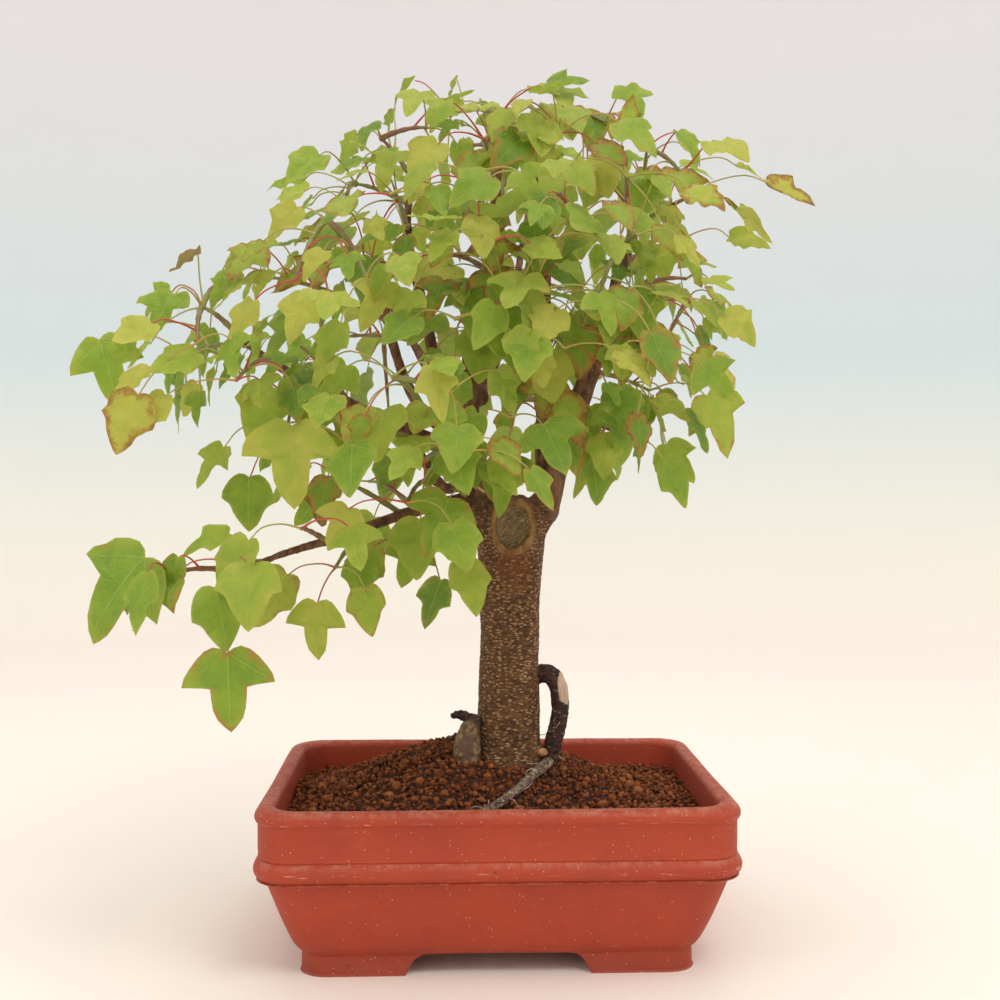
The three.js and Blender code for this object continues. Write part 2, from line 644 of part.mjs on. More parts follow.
function loneLeaf(stem, [share, base, tip]) {
  const node = stem.getPoint(share);
  const start = vector(base).add(FORK);
  const axis = vector(tip).add(FORK).sub(start);
  const length = axis.length();
  axis.normalize();
  const normal = LIGHT.clone().addScaledVector(axis, -LIGHT.dot(axis)).normalize();
  return { node, base: start, axis, normal, length };
}

// A green stem through the points where its leaves stand.
function stemRod(stem, shares) {
  const stops = [0, ...shares].sort((a, b) => a - b);
  return rod(stops.map((share) => stem.getPoint(share)), [STEM_RADIUS, STEM_TIP_RADIUS], 4, 1);
}

// The green stems of one shoot and the leaves they bear. The second and third stems branch
// from the first. A stem arches more or less than usual where another is in its way.
function growStems([limb, share, tips, lone = []], seed, wood, neighbours) {
  const random = stream(seed);
  const rods = [];
  const leaves = [];
  let start = limbCurve(limb).getPoint(share);
  tips.forEach((tip, index) => {
    const end = vector(tip).add(FORK);
    const shares = nodeShares(start.distanceTo(end));
    const own = index === 0 ? lone : [];
    const stops = [...new Set([...shares, ...own.map((row) => row[0])])];
    const routes = STEM_LIFTS.map((lift) => stemCurve(start, end, lift));
    const stem = routes.find((route) => clearOf(stemRod(route, stops), neighbours)) ?? routes[0];
    rods.push(stemRod(stem, stops));
    leaves.push(...own.map((row) => loneLeaf(stem, row)), ...stemLeaves(stem, shares, random));
    if (index === 0) start = stem.getPoint(Math.min(...shares));
  });
  return { solid: joined(rods).subtract(wood), leaves };
}

// Adds to a shoot each of its leaves that touches neither the wood nor another shoot.
function addLeaves(shoot, wood, shoots) {
  for (const one of shoot.leaves) {
    const solid = leaf(one);
    const others = shoots.filter((other) => other !== shoot).map((other) => other.solid);
    if (clearOf(solid, [wood, ...others])) shoot.solid = shoot.solid.add(solid);
  }
}

function apart(a, b) {
  const [p, q] = [a.boundingBox(), b.boundingBox()];
  return [0, 1, 2].some((k) => p.min[k] > q.max[k] || q.min[k] > p.max[k]);
}

const clearOf = (solid, others) => others.every(
  (other) => apart(solid, other) || solid.intersect(other).isEmpty(),
);

// ---- Finishes --------------------------------------------------------------------------------
const finish = (color, roughness, metalness = 0) => new THREE.MeshStandardMaterial({
  color, roughness, metalness,
});
const CLAY = finish("#a63d2b", 0.75);
const SOIL = finish("#7a3f26", 0.95);
const BARK = finish("#5b4030", 0.9);
const PLASTIC = finish("#1d1f1d", 0.6);
const WIRE = finish("#b9bcc0", 0.4, 0.9);
const LEAF = finish("#8fae3c", 0.6);

const plant = new THREE.Group();

function addPiece(name, solid, material) {
  const clean = solid.simplify(SMALLEST_EDGE);
  const { vertProperties, triVerts } = clean.getMesh();
  const geometry = new THREE.BufferGeometry();
  geometry.setAttribute("position", new THREE.BufferAttribute(new Float32Array(vertProperties), 3));
  geometry.setIndex([...triVerts]);
  geometry.computeVertexNormals();
  const mesh = new THREE.Mesh(geometry, material);
  mesh.name = name;
  plant.add(mesh);
}

// ---- The plant in its pot --------------------------------------------------------------------
addPiece("pot", makePot(), CLAY);
for (const [name, side] of [["left", -1], ["right", 1]]) {
  addPiece(`drain_screen_${name}`, makeScreen(side * DRAIN_SPACING / 2), PLASTIC);
  addPiece(`drain_wire_${name}`, makeStaple(side * DRAIN_SPACING / 2), WIRE);
}
addPiece("soil", makeSoil(joined([trunkColumn(CLEARANCE), ...roots(CLEARANCE)])), SOIL);

const trunk = joined([trunkColumn(0), ...roots(0), ...limbs(0), scarRing()]).subtract(scarHollow());
addPiece("trunk", trunk, BARK);

const woodSpace = joined([trunkColumn(CLEARANCE), ...limbs(CLEARANCE)]);
const shoots = [];
SHOOTS.forEach((row, index) => {
  const stems = shoots.map((shoot) => shoot.solid);
  shoots.push(growStems(row, 1013 + 37 * index, woodSpace, stems));
});
shoots.forEach((shoot, index) => {
  addLeaves(shoot, woodSpace, shoots);
  addPiece(`leafy_shoot_${String(index + 1).padStart(2, "0")}`, shoot.solid, LEAF);
});

// The origin is the bottom centre of the whole object's box.
const bounds = new THREE.Box3().setFromObject(plant);
plant.position.set(
  -(bounds.min.x + bounds.max.x) / 2,
  -(bounds.min.y + bounds.max.y) / 2,
  -bounds.min.z,
);

const bonsai = new THREE.Group();
bonsai.add(plant);
export default bonsai;
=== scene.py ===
"""Trident maple bonsai in an unglazed clay pot: fine surfaces, finishes, light and camera.

Places are worked out in millimetres from the centre of the pot's base, with +Z up and -Y
towards the viewer, and turned into the frame's metres by the function at().
"""
import math
import random

import bmesh
import bpy
import numpy as np
from mathutils import Matrix, Vector, noise


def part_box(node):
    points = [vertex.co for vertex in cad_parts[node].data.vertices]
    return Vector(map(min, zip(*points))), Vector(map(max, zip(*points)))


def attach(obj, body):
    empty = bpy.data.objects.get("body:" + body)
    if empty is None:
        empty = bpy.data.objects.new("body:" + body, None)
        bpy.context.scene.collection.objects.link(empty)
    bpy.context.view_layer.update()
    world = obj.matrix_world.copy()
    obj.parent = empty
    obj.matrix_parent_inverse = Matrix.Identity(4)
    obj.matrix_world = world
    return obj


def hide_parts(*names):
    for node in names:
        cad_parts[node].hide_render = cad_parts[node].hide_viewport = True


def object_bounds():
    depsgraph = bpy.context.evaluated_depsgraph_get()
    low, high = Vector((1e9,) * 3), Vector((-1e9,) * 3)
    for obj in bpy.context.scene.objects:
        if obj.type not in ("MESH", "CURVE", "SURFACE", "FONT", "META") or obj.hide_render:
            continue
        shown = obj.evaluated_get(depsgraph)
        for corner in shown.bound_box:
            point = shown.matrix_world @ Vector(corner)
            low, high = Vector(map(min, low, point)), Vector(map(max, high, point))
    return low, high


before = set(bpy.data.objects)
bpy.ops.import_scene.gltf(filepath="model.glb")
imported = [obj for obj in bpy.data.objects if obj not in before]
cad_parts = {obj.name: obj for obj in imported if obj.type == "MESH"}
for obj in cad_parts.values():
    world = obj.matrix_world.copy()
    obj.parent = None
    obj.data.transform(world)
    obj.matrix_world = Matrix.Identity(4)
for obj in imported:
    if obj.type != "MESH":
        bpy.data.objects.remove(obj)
CAD_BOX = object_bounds()

MM = 0.001
POT_LOW, POT_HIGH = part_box("pot")
POT_CENTRE = Vector(((POT_LOW.x + POT_HIGH.x) / 2, (POT_LOW.y + POT_HIGH.y) / 2, 0))
UP = Vector((0, 0, 1))

# ---- Sizes, in millimetres -----------------------------------------------------------------
BAND_BULGE = 0.8
POT_LENGTH = (POT_HIGH.x - POT_LOW.x) / MM - 2 * BAND_BULGE
POT_WIDTH = (POT_HIGH.y - POT_LOW.y) / MM - 2 * BAND_BULGE
POT_HEIGHT = POT_HIGH.z / MM
CORNER_RADIUS = 20
RIM_WALL = 7.5
NECK_HEIGHT = 19.5
BAND_HEIGHT = 10.5
FOOT_HEIGHT = 9
FOOT_INSET = 17.3
FOOT_WALL = 13
FOOT_GAP_HALF = 34
SIDE_GAP_HALF = 22
FOOT_GAP_SPLAY = 6
FLOOR_INSET = 24
FLOOR_TOP = 16
DRAIN_DIAMETER = 16
DRAIN_SPACING = 80
BAND_TOP = POT_HEIGHT - NECK_HEIGHT
BAND_BOTTOM = BAND_TOP - BAND_HEIGHT

SOIL_EDGE = POT_HEIGHT - 12
MOUND_RISE = 26
MOUND_CENTRE = (-8, 8)
MOUND_REACH = (105, 68)

TRUNK_X = 6.3
TRUNK_RADIUS = 14.2
TRUNK_HEIGHT = 94
TRUNK_LEAN = 1.7

LEAF_LENGTH = 27
INTERNODE = 28
BARE_SHARE = 0.38
PETIOLE_REACH = (14, 30)
STEM_LIFT = 0.14


def at(x, y, z):
    """A place given from the centre of the pot's base, in the frame's metres."""
    return POT_CENTRE + Vector((x, y, z)) * MM


def mix(low, high, share):
    return low + (high - low) * share


def ease(value, low, high):
    """0 below low, 1 above high and smooth between them."""
    share = min(1.0, max(0.0, (value - low) / (high - low)))
    return share * share * (3 - 2 * share)


def soil_height(x, y):
    """Height of the soil: a low mound that is highest behind the trunk."""
    reach = math.hypot((x - MOUND_CENTRE[0]) / MOUND_REACH[0], (y - MOUND_CENTRE[1]) / MOUND_REACH[1])
    return SOIL_EDGE + MOUND_RISE * math.cos(min(1, reach) * math.pi / 2) ** 2


SOIL_AT_TRUNK = soil_height(TRUNK_X, -TRUNK_RADIUS)
FORK = Vector((TRUNK_X + TRUNK_LEAN, 0, SOIL_AT_TRUNK + TRUNK_HEIGHT))
CROWN_CENTRE = FORK + Vector((-12, 0, 85))
LIGHT = Vector((0, -0.75, 0.66))
SCAR = Vector((FORK.x, -TRUNK_RADIUS * 0.94, FORK.z + 12))
SCAR_HALF = Vector((7.5, 5, 9.5))
KNUCKLE = Vector((FORK.x + 14.5, -3, FORK.z + 20))

# ---- Limbs: radii and centre lines, in millimetres from the fork of the trunk ---------------
LIMBS = {
    "leader": (
        [8.5, 8, 7.5, 7, 5, 3.6, 3, 2.4, 1.6],
        [(-7, 2, 8), (-13, 4, 24), (-20, 8, 47), (-21, 10, 71), (-15, 8, 94), (-9, 6, 114),
         (-8, 4, 139), (-7, 2, 166), (-4, 0, 190)],
    ),
    "right_limb": (
        [7.5, 6.5, 3.8, 3.3, 2.8, 2.4, 1.9, 1.4],
        [(7, -2, 8), (16, -6, 23), (23, -4, 45), (33, -2, 69), (41, 0, 95), (45, 2, 114),
         (54, 4, 137), (60, 6, 161)],
    ),
    "right_front": (
        [4, 2.6, 2.2, 1.9, 1.6, 1.3],
        [(16, -6, 23), (20, -14, 47), (26, -18, 67), (35, -20, 89), (41, -22, 105), (44, -26, 125)],
    ),
    "upright": (
        [4, 3, 2.8, 2.5, 2.2, 1.9, 1.4],
        [(15, -4, 23), (14, 4, 47), (15, 8, 75), (16, 8, 108), (17, 6, 139), (17, 4, 171),
         (18, 2, 189)],
    ),
    "right_back": (
        [3.8, 2.8, 2.3, 1.8, 1.4],
        [(15, 0, 23), (22, 20, 45), (35, 40, 72), (50, 60, 99), (65, 75, 126)],
    ),
    "left_upright": (
        [4, 3.2, 2.8, 2.4, 2, 1.4],
        [(-21, 10, 61), (-33, 2, 81), (-38, -4, 101), (-43, -10, 123), (-47, -14, 144),
         (-45, -16, 166)],
    ),
    "left_reach": (
        [3.5, 2.8, 2.5, 2.2, 1.8, 1.4],
        [(-21, 8, 52), (-37, -10, 60), (-47, -24, 75), (-53, -36, 93), (-56, -44, 107),
         (-65, -54, 122)],
    ),
    "left_mid": (
        [3.6, 3, 2.5, 2, 1.4],
        [(-20, 8, 45), (-51, -4, 57), (-80, -24, 70), (-104, -40, 83), (-117, -50, 94)],
    ),
    "low_front": (
        [3.2, 2.5, 2.2, 1.9, 1.4],
        [(-17, 6, 34), (-29, -20, 29), (-36, -44, 36), (-42, -62, 49), (-39, -72, 62)],
    ),
    "low_left": (
        [4, 3, 2.5, 2.1, 1.7, 1.4],
        [(-15, 2, 24), (-33, -14, 22), (-54, -34, 16), (-74, -50, 9), (-95, -62, 3),
         (-114, -70, -4)],
    ),
    "back_left": (
        [3.6, 2.8, 2.2, 1.5],
        [(-21, 12, 61), (-33, 40, 77), (-48, 62, 104), (-64, 80, 131)],
    ),
    "back_right": (
        [3.6, 2.8, 2.2, 1.5],
        [(-14, 12, 71), (-4, 45, 97), (5, 70, 130), (11, 85, 164)],
    ),
}

# ---- Leafy shoots: the limb, the share along it, the tip of each green stem and, where leaves
# hang clear, their share along the first stem, the base of the blade and its tip. --------------
SHOOTS = [
    ["leader", 0.97, [[-6, -10, 196], [-28, 14, 202]]],
    ["leader", 0.86, [[-14, -54, 174]]],
    ["leader", 0.8, [[8, 52, 206], [-24, 62, 198]]],
    ["leader", 0.7, [[-20, -80, 152]]],
    ["leader", 0.58, [[-12, -90, 125], [-34, -86, 120]]],
    ["leader", 0.48, [[-26, -84, 96]]],
    ["left_upright", 1, [[-58, -22, 182], [-38, -48, 180]]],
    ["left_upright", 0.9, [[-70, -14, 164], [-78, 32, 164]]],
    ["left_upright", 0.8, [[-52, -76, 146]]],
    ["left_upright", 0.6, [[-86, -8, 136]]],
    ["left_reach", 1, [[-78, -70, 137], [-60, -96, 110], [-88, -88, 110]]],
    ["left_reach", 0.7, [[-106, -30, 120]]],
    ["left_mid", 1, [[-130, -54, 104], [-126, -86, 86], [-130, -24, 116]]],
    ["left_mid", 0.88, [[-140, -42, 86]], [[1, [-173, -50, 91], [-162, -54, 58]]]],
    ["left_mid", 0.75, [[-112, -80, 72]]],
    ["left_mid", 0.6, [[-94, -62, 56]], [[1, [-110, -60, 34], [-112, -62, 12]]]],
    ["left_mid", 0.35, [[-89, 40, 70], [-103, 16, 98]]],
    ["low_front", 1, [[-50, -96, 72], [-28, -98, 66]]],
    ["low_front", 0.75, [[-70, -88, 49]], [[1, [-89, -90, 54], [-90, -96, 22]]]],
    ["low_front", 0.6, [[-26, -94, 43]]],
    ["low_front", 0.4, [[-45, -82, 24]]],
    ["low_front", 0.25, [[-14, -56, 28]]],
    ["low_left", 1, [[-138, -80, -4]], [
        [1, [-147, -84, 3], [-174, -90, -26]],
        [0.9, [-145, -84, -9], [-152, -86, -15]],
        [0.3, [-115, -80, 12], [-135, -84, 6]],
        [0.55, [-134, -84, 3], [-139, -86, -12]],
    ]],
    ["low_left", 0.9, [[-114, -84, 0]], [
        [1, [-118, -94, -8], [-111, -98, -32]],
        [0.75, [-113, -96, -33], [-111, -100, -65]],
    ]],
    ["low_left", 0.65, [[-86, -86, 14]]],
    ["low_left", 0.5, [[-75, -60, -3]], [[1, [-82, -66, -17], [-84, -68, -41]]]],
    ["low_left", 0.35, [[-77, -40, 34]]],
    ["low_left", 0.2, [[-42, -46, 8]], [
        [1, [-32, -62, -8], [-39, -64, -29]],
        [0.8, [-43, -52, 7], [-48, -54, -13]],
        [0.6, [-65, -58, 1], [-66, -60, -18]],
    ]],
    ["upright", 1, [[23, 0, 200], [41, -15, 192], [42, 52, 202]]],
    ["upright", 0.9, [[17, -62, 174]]],
    ["upright", 0.72, [[3, -82, 153], [22, -90, 134]]],
    ["upright", 0.5, [[4, -90, 104]]],
    ["upright", 0.4, [[16, -92, 84]]],
    ["upright", 0.28, [[-4, -76, 58]]],
    ["right_limb", 0.93, [[78, -18, 158]], [[1, [113, -20, 165], [140, -20, 156]]]],
    ["right_limb", 1, [[62, 0, 184], [74, -22, 168]]],
    ["right_limb", 0.88, [[44, -66, 156]]],
    ["right_limb", 0.82, [[78, 20, 144], [68, 58, 184]]],
    ["right_limb", 0.68, [[80, -5, 114], [78, 34, 102]]],
    ["right_limb", 0.5, [[64, 4, 74]], [
        [0.6, [34, 4, 53], [46, 2, 33]],
        [0.8, [72, 4, 49], [84, 0, 31]],
        [1, [88, -10, 71], [104, -12, 44]],
    ]],
    ["right_front", 1, [[46, -80, 130], [29, -92, 102]]],
    ["right_front", 0.85, [[57, -68, 106], [72, -46, 118]]],
    ["right_front", 0.6, [[54, -72, 85]]],
    ["right_front", 0.33, [[42, -35, 54]]],
    ["right_back", 1, [[76, 78, 138], [54, 90, 158]]],
    ["right_back", 0.65, [[70, 84, 94], [49, 78, 60]]],
    ["back_left", 1, [[-82, 82, 150], [-55, 98, 160]]],
    ["back_left", 0.65, [[-86, 84, 106], [-60, 86, 68]]],
    ["back_right", 1, [[14, 88, 194], [-12, 96, 178]]],
    ["back_right", 0.7, [[31, 100, 134]]],
    ["back_right", 0.4, [[-12, 100, 106], [12, 88, 76]]],
    ["low_left", 0.3, [[-66, 20, 32]]],
]


# ---- Leaves ----------------------------------------------------------------------------------
# The right half of a leaf's edge from its base to its tip, in shares of its length.
OUTLINES = {
    "deep": [
        (0.08, -0.05), (0.19, -0.075), (0.31, -0.03), (0.42, 0.06), (0.52, 0.17), (0.585, 0.27),
        (0.62, 0.38), (0.47, 0.39), (0.35, 0.40), (0.245, 0.42), (0.235, 0.54), (0.215, 0.68),
        (0.17, 0.81), (0.08, 0.92),
    ],
    "shallow": [
        (0.09, -0.05), (0.20, -0.06), (0.30, -0.01), (0.38, 0.08), (0.44, 0.19), (0.475, 0.31),
        (0.49, 0.43), (0.42, 0.48), (0.36, 0.52), (0.315, 0.58), (0.28, 0.66), (0.22, 0.76),
        (0.15, 0.86), (0.07, 0.95),
    ],
    "narrow": [
        (0.07, -0.04), (0.15, -0.05), (0.23, 0.0), (0.30, 0.09), (0.36, 0.2), (0.40, 0.31),
        (0.42, 0.42), (0.33, 0.46), (0.26, 0.49), (0.21, 0.54), (0.20, 0.62), (0.17, 0.73),
        (0.12, 0.84), (0.06, 0.93),
    ],
}
PLAN_SCALE = (1.5, 1.25)
PLAN_FOOT = 0.125
LEAF_GREENS = [
    (0.3, (0.13, 0.28, 0.022, 1)), (0.55, (0.25, 0.40, 0.030, 1)), (0.8, (0.42, 0.50, 0.060, 1)),
]
BRONZE_LEAVES = [(-135, -60, 132), (-75, -30, 185)]
EXTRA_LEAVES = 6
LEAF_SPACING = 8
WOOD_VOXEL = 0.75
# Painted light: the middle colours of the backdrop's gradient, which stands for the fall of the studio light.
BACKDROP_TONES = [(0.08, (0.94, 0.89, 0.77, 1)), (0.40, (0.67, 0.76, 0.78, 1))]

# ---- Modelling helpers -----------------------------------------------------------------------
def select_only(piece):
    """Deselects everything, then selects this piece and makes it active."""
    bpy.ops.object.select_all(action="DESELECT")
    piece.select_set(True)
    bpy.context.view_layer.objects.active = piece


def start_piece(name):
    """Names the primitive that was just added."""
    piece = bpy.context.active_object
    piece.name = name
    piece.data.name = name
    return piece


def start_edit(piece, select_mode="VERT"):
    select_only(piece)
    bpy.ops.object.mode_set(mode="EDIT")
    bpy.ops.mesh.select_mode(type=select_mode)


def end_edit():
    bpy.ops.object.mode_set(mode="OBJECT")


def select_edges(piece, chosen):
    """In edit mode, selects the edges for which chosen(start, end) is true."""
    shape = bmesh.from_edit_mesh(piece.data)
    bpy.ops.mesh.select_all(action="DESELECT")
    for edge in shape.edges:
        edge.select = chosen(edge.verts[0].co, edge.verts[1].co)
    shape.select_flush_mode()
    bmesh.update_edit_mesh(piece.data)


def select_faces(piece, chosen):
    """In edit mode, selects the faces for which chosen(centre, normal) is true."""
    shape = bmesh.from_edit_mesh(piece.data)
    bpy.ops.mesh.select_all(action="DESELECT")
    for face in shape.faces:
        face.select = chosen(face.calc_center_median(), face.normal)
    shape.select_flush_mode()
    bmesh.update_edit_mesh(piece.data)


def apply_modifier(piece, kind, **settings):
    """Adds one modifier with these settings and applies it."""
    select_only(piece)
    modifier = piece.modifiers.new(kind.title(), kind)
    for name, value in settings.items():
        setattr(modifier, name, value)
    bpy.ops.object.modifier_apply(modifier=modifier.name)


def cut_away(piece, cutter):
    """Cuts the cutter's shape out of the piece and deletes the cutter."""
    apply_modifier(piece, "BOOLEAN", operation="DIFFERENCE", object=cutter, solver="MANIFOLD")
    bpy.data.objects.remove(cutter)


def apply_place(piece):
    select_only(piece)
    bpy.ops.object.transform_apply(location=True, rotation=True, scale=True)


def join_pieces(name, pieces):
    bpy.ops.object.select_all(action="DESELECT")
    for piece in pieces:
        piece.select_set(True)
    bpy.context.view_layer.objects.active = pieces[0]
    bpy.ops.object.join()
    return start_piece(name)


def move_points(piece, moved):
    """Gives each vertex the place that moved(place, normal) returns."""
    vertices = piece.data.vertices
    before = [(vertex.co.copy(), vertex.normal.copy()) for vertex in vertices]
    after = [value for place, normal in before for value in moved(place, normal)]
    vertices.foreach_set("co", after)
    piece.data.update()


def paint(piece, name, value):
    """Stores value(vertex) on each vertex as an attribute that a material can read."""
    layer = piece.data.attributes.new(name, "FLOAT", "POINT")
    layer.data.foreach_set("value", [value(vertex) for vertex in piece.data.vertices])


def finish_piece(piece, slot, replaced, *materials, smooth=None):
    """Shades a piece, gives it its finish, hangs it under the root body and hides the parts of the frame it
    stands for.
    """
    select_only(piece)
    if smooth is None:
        bpy.ops.object.shade_smooth()
    else:
        bpy.ops.object.shade_smooth_by_angle(angle=math.radians(smooth))
    piece.data.materials.clear()
    for material in materials:
        piece.data.materials.append(material)
    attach(piece, "root")
    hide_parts(*replaced)
    return piece


def catmull(points, share):
    """The place at a share along a smooth line through the points."""
    spans = len(points) - 1
    place = share * spans
    index = min(int(place), spans - 1)
    w = place - index
    before = points[index - 1] if index > 0 else 2 * points[0] - points[1]
    after = points[index + 2] if index + 2 <= spans else 2 * points[-1] - points[-2]
    start, end = points[index], points[index + 1]
    t0 = (end - before) * 0.5
    t1 = (after - start) * 0.5
    curve = -3 * start + 3 * end - 2 * t0 - t1
    return start + w * (t0 + w * (curve + w * (2 * start - 2 * end + t0 + t1)))


def value_along(values, share):
    place = share * (len(values) - 1)
    index = min(int(place), len(values) - 2)
    return mix(values[index], values[index + 1], place - index)


def smooth_run(points, radii, steps):
    """A line of places through the points, with a radius at each, in steps to a span."""
    points = [Vector(point) for point in points]
    count = (len(points) - 1) * steps
    shares = [step / count for step in range(count + 1)]
    return [(catmull(points, share), value_along(radii, share)) for share in shares]


def tubes(name, runs, roundness):
    """Round rods along runs of (place, radius), made as bevelled curves and then meshed."""
    bpy.ops.object.select_all(action="DESELECT")
    bpy.ops.curve.primitive_bezier_curve_add()
    piece = start_piece(name)
    curve = piece.data
    curve.splines.clear()
    curve.dimensions = "3D"
    curve.bevel_depth = MM
    curve.bevel_resolution = roundness
    curve.use_fill_caps = True
    curve.twist_mode = "MINIMUM"
    for run in runs:
        spline = curve.splines.new("POLY")
        spline.points.add(len(run) - 1)
        for point, (place, radius) in zip(spline.points, run):
            point.co = (*at(*place), 1)
            point.radius = radius
    select_only(piece)
    bpy.ops.object.convert(target="MESH")
    return start_piece(name)


def raise_rows(rows):
    """Extrudes the selected face up through rows of (half x, half y, centre x, height)."""
    half_x, half_y, middle_x, height = rows[0]
    for next_x, next_y, next_middle, next_height in rows[1:]:
        move = Vector((next_middle - middle_x, 0, next_height - height)) * MM
        bpy.ops.mesh.extrude_region_move(TRANSFORM_OT_translate={"value": move})
        bpy.ops.transform.resize(
            value=(next_x / half_x, next_y / half_y, 1),
            center_override=at(next_middle, 0, next_height),
        )
        half_x, half_y, middle_x, height = next_x, next_y, next_middle, next_height


# ---- Node helpers ----------------------------------------------------------------------------
class Nodes:
    """Adds nodes to a tree, with links or plain values on their inputs."""

    def __init__(self, tree):
        self.tree = tree

    def set(self, socket, value):
        if isinstance(value, bpy.types.NodeSocket):
            self.tree.links.new(value, socket)
        else:
            socket.default_value = value

    def add(self, kind, inputs=None, **settings):
        made = self.tree.nodes.new(kind)
        for name, value in settings.items():
            setattr(made, name, value)
        for key, value in (inputs or {}).items():
            self.set(made.inputs[key], value)
        return made

    def math(self, operation, first, second=0.0, third=0.0):
        inputs = {0: first, 1: second, 2: third}
        return self.add("ShaderNodeMath", inputs, operation=operation).outputs[0]

    def between(self, value, low, high):
        """0 where value is under low, 1 where it is over high."""
        inputs = {"Value": value, "From Min": low, "From Max": high}
        made = self.add("ShaderNodeMapRange", inputs, interpolation_type="SMOOTHSTEP")
        return made.outputs["Result"]

    def blend(self, share, first, second, way="MIX"):
        made = self.add("ShaderNodeMix", {0: share}, data_type="RGBA", blend_type=way)
        self.set(made.inputs[6], first)
        self.set(made.inputs[7], second)
        return made.outputs[2]

    def noise(self, vector, scale, detail=3.0, roughness=0.55, distortion=0.0):
        inputs = {"Vector": vector, "Scale": scale, "Detail": detail}
        inputs.update({"Roughness": roughness, "Distortion": distortion})
        return self.add("ShaderNodeTexNoise", inputs).outputs["Fac"]

    def stretch(self, vector, scale):
        inputs = {0: vector, 1: scale}
        return self.add("ShaderNodeVectorMath", inputs, operation="MULTIPLY").outputs[0]

    def split(self, vector):
        return self.add("ShaderNodeSeparateXYZ", {0: vector}).outputs

    def object_place(self):
        return self.add("ShaderNodeTexCoord").outputs["Object"]

    def attribute(self, name):
        return self.add("ShaderNodeAttribute", attribute_name=name).outputs["Fac"]

    def use(self, group, **inputs):
        made = self.add("ShaderNodeGroup", node_tree=group)
        for key, value in inputs.items():
            self.set(made.inputs[key.replace("_", " ")], value)
        return made.outputs

    def bump(self, height, strength, distance_mm, normal=None):
        inputs = {"Height": height, "Strength": strength, "Distance": distance_mm * MM}
        if normal is not None:
            inputs["Normal"] = normal
        return self.add("ShaderNodeBump", inputs).outputs["Normal"]


def new_group(name, inputs, outputs):
    """A node group with these named inputs and outputs, and the nodes that hold them."""
    group = bpy.data.node_groups.new(name, "ShaderNodeTree")
    kinds = {"float": "NodeSocketFloat", "vector": "NodeSocketVector", "colour": "NodeSocketColor"}
    for label, (kind, value) in inputs.items():
        socket = group.interface.new_socket(name=label, in_out="INPUT", socket_type=kinds[kind])
        if value is not None:
            socket.default_value = value
    for label, kind in outputs.items():
        group.interface.new_socket(name=label, in_out="OUTPUT", socket_type=kinds[kind])
    nodes = Nodes(group)
    return group, nodes, nodes.add("NodeGroupInput").outputs, nodes.add("NodeGroupOutput")


def new_material(name):
    """A material with an empty Principled surface."""
    material = bpy.data.materials.new(name)
    material.use_nodes = True
    nodes = Nodes(material.node_tree)
    return material, nodes, material.node_tree.nodes["Principled BSDF"]


# ---- Shared effects --------------------------------------------------------------------------
def make_grain():
    """Fine and coarse unevenness of a surface, as one height."""
    group, nodes, given, result = new_group(
        "surface_grain",
        {"Vector": ("vector", None), "Scale": ("float", 1000.0), "Coarse": ("float", 0.4)},
        {"Height": "float"},
    )
    fine = nodes.noise(given["Vector"], given["Scale"], 4)
    wide = nodes.noise(given["Vector"], nodes.math("MULTIPLY", given["Scale"], 0.18), 3)
    mixed = nodes.add("ShaderNodeMix", {0: given["Coarse"], 2: fine, 3: wide}, data_type="FLOAT")
    nodes.set(result.inputs["Height"], mixed.outputs[0])
    return group


def make_speckle():
    """Scattered specks, each a cell of its own: a mask and a random value for each speck."""
    group, nodes, given, result = new_group(
        "specks",
        {"Vector": ("vector", None), "Scale": ("float", 500.0), "Size": ("float", 0.3),
         "Amount": ("float", 0.3)},
        {"Mask": "float", "Chance": "float"},
    )
    cells = nodes.add("ShaderNodeTexVoronoi", {"Vector": given["Vector"], "Scale": given["Scale"]})
    chance = nodes.split(cells.outputs["Color"])
    edge = nodes.math("MULTIPLY", given["Size"], 0.55)
    inside = nodes.between(cells.outputs["Distance"], given["Size"], edge)
    kept = nodes.math("LESS_THAN", chance["X"], given["Amount"])
    nodes.set(result.inputs["Mask"], nodes.math("MULTIPLY", inside, kept))
    nodes.set(result.inputs["Chance"], chance["Y"])
    return group


def make_blotch():
    """Soft irregular patches: a mask that covers about Amount of the surface."""
    group, nodes, given, result = new_group(
        "blotches",
        {"Vector": ("vector", None), "Scale": ("float", 60.0), "Amount": ("float", 0.5),
         "Softness": ("float", 0.15)},
        {"Mask": "float"},
    )
    field = nodes.noise(given["Vector"], given["Scale"], 5, 0.6, 0.4)
    middle = nodes.math("SUBTRACT", 1.0, given["Amount"])
    middle = nodes.math("MULTIPLY_ADD", middle, 0.4, 0.3)
    low = nodes.math("SUBTRACT", middle, given["Softness"])
    high = nodes.math("ADD", middle, given["Softness"])
    nodes.set(result.inputs["Mask"], nodes.between(field, low, high))
    return group


GRAIN = make_grain()
SPECKS = make_speckle()
BLOTCHES = make_blotch()

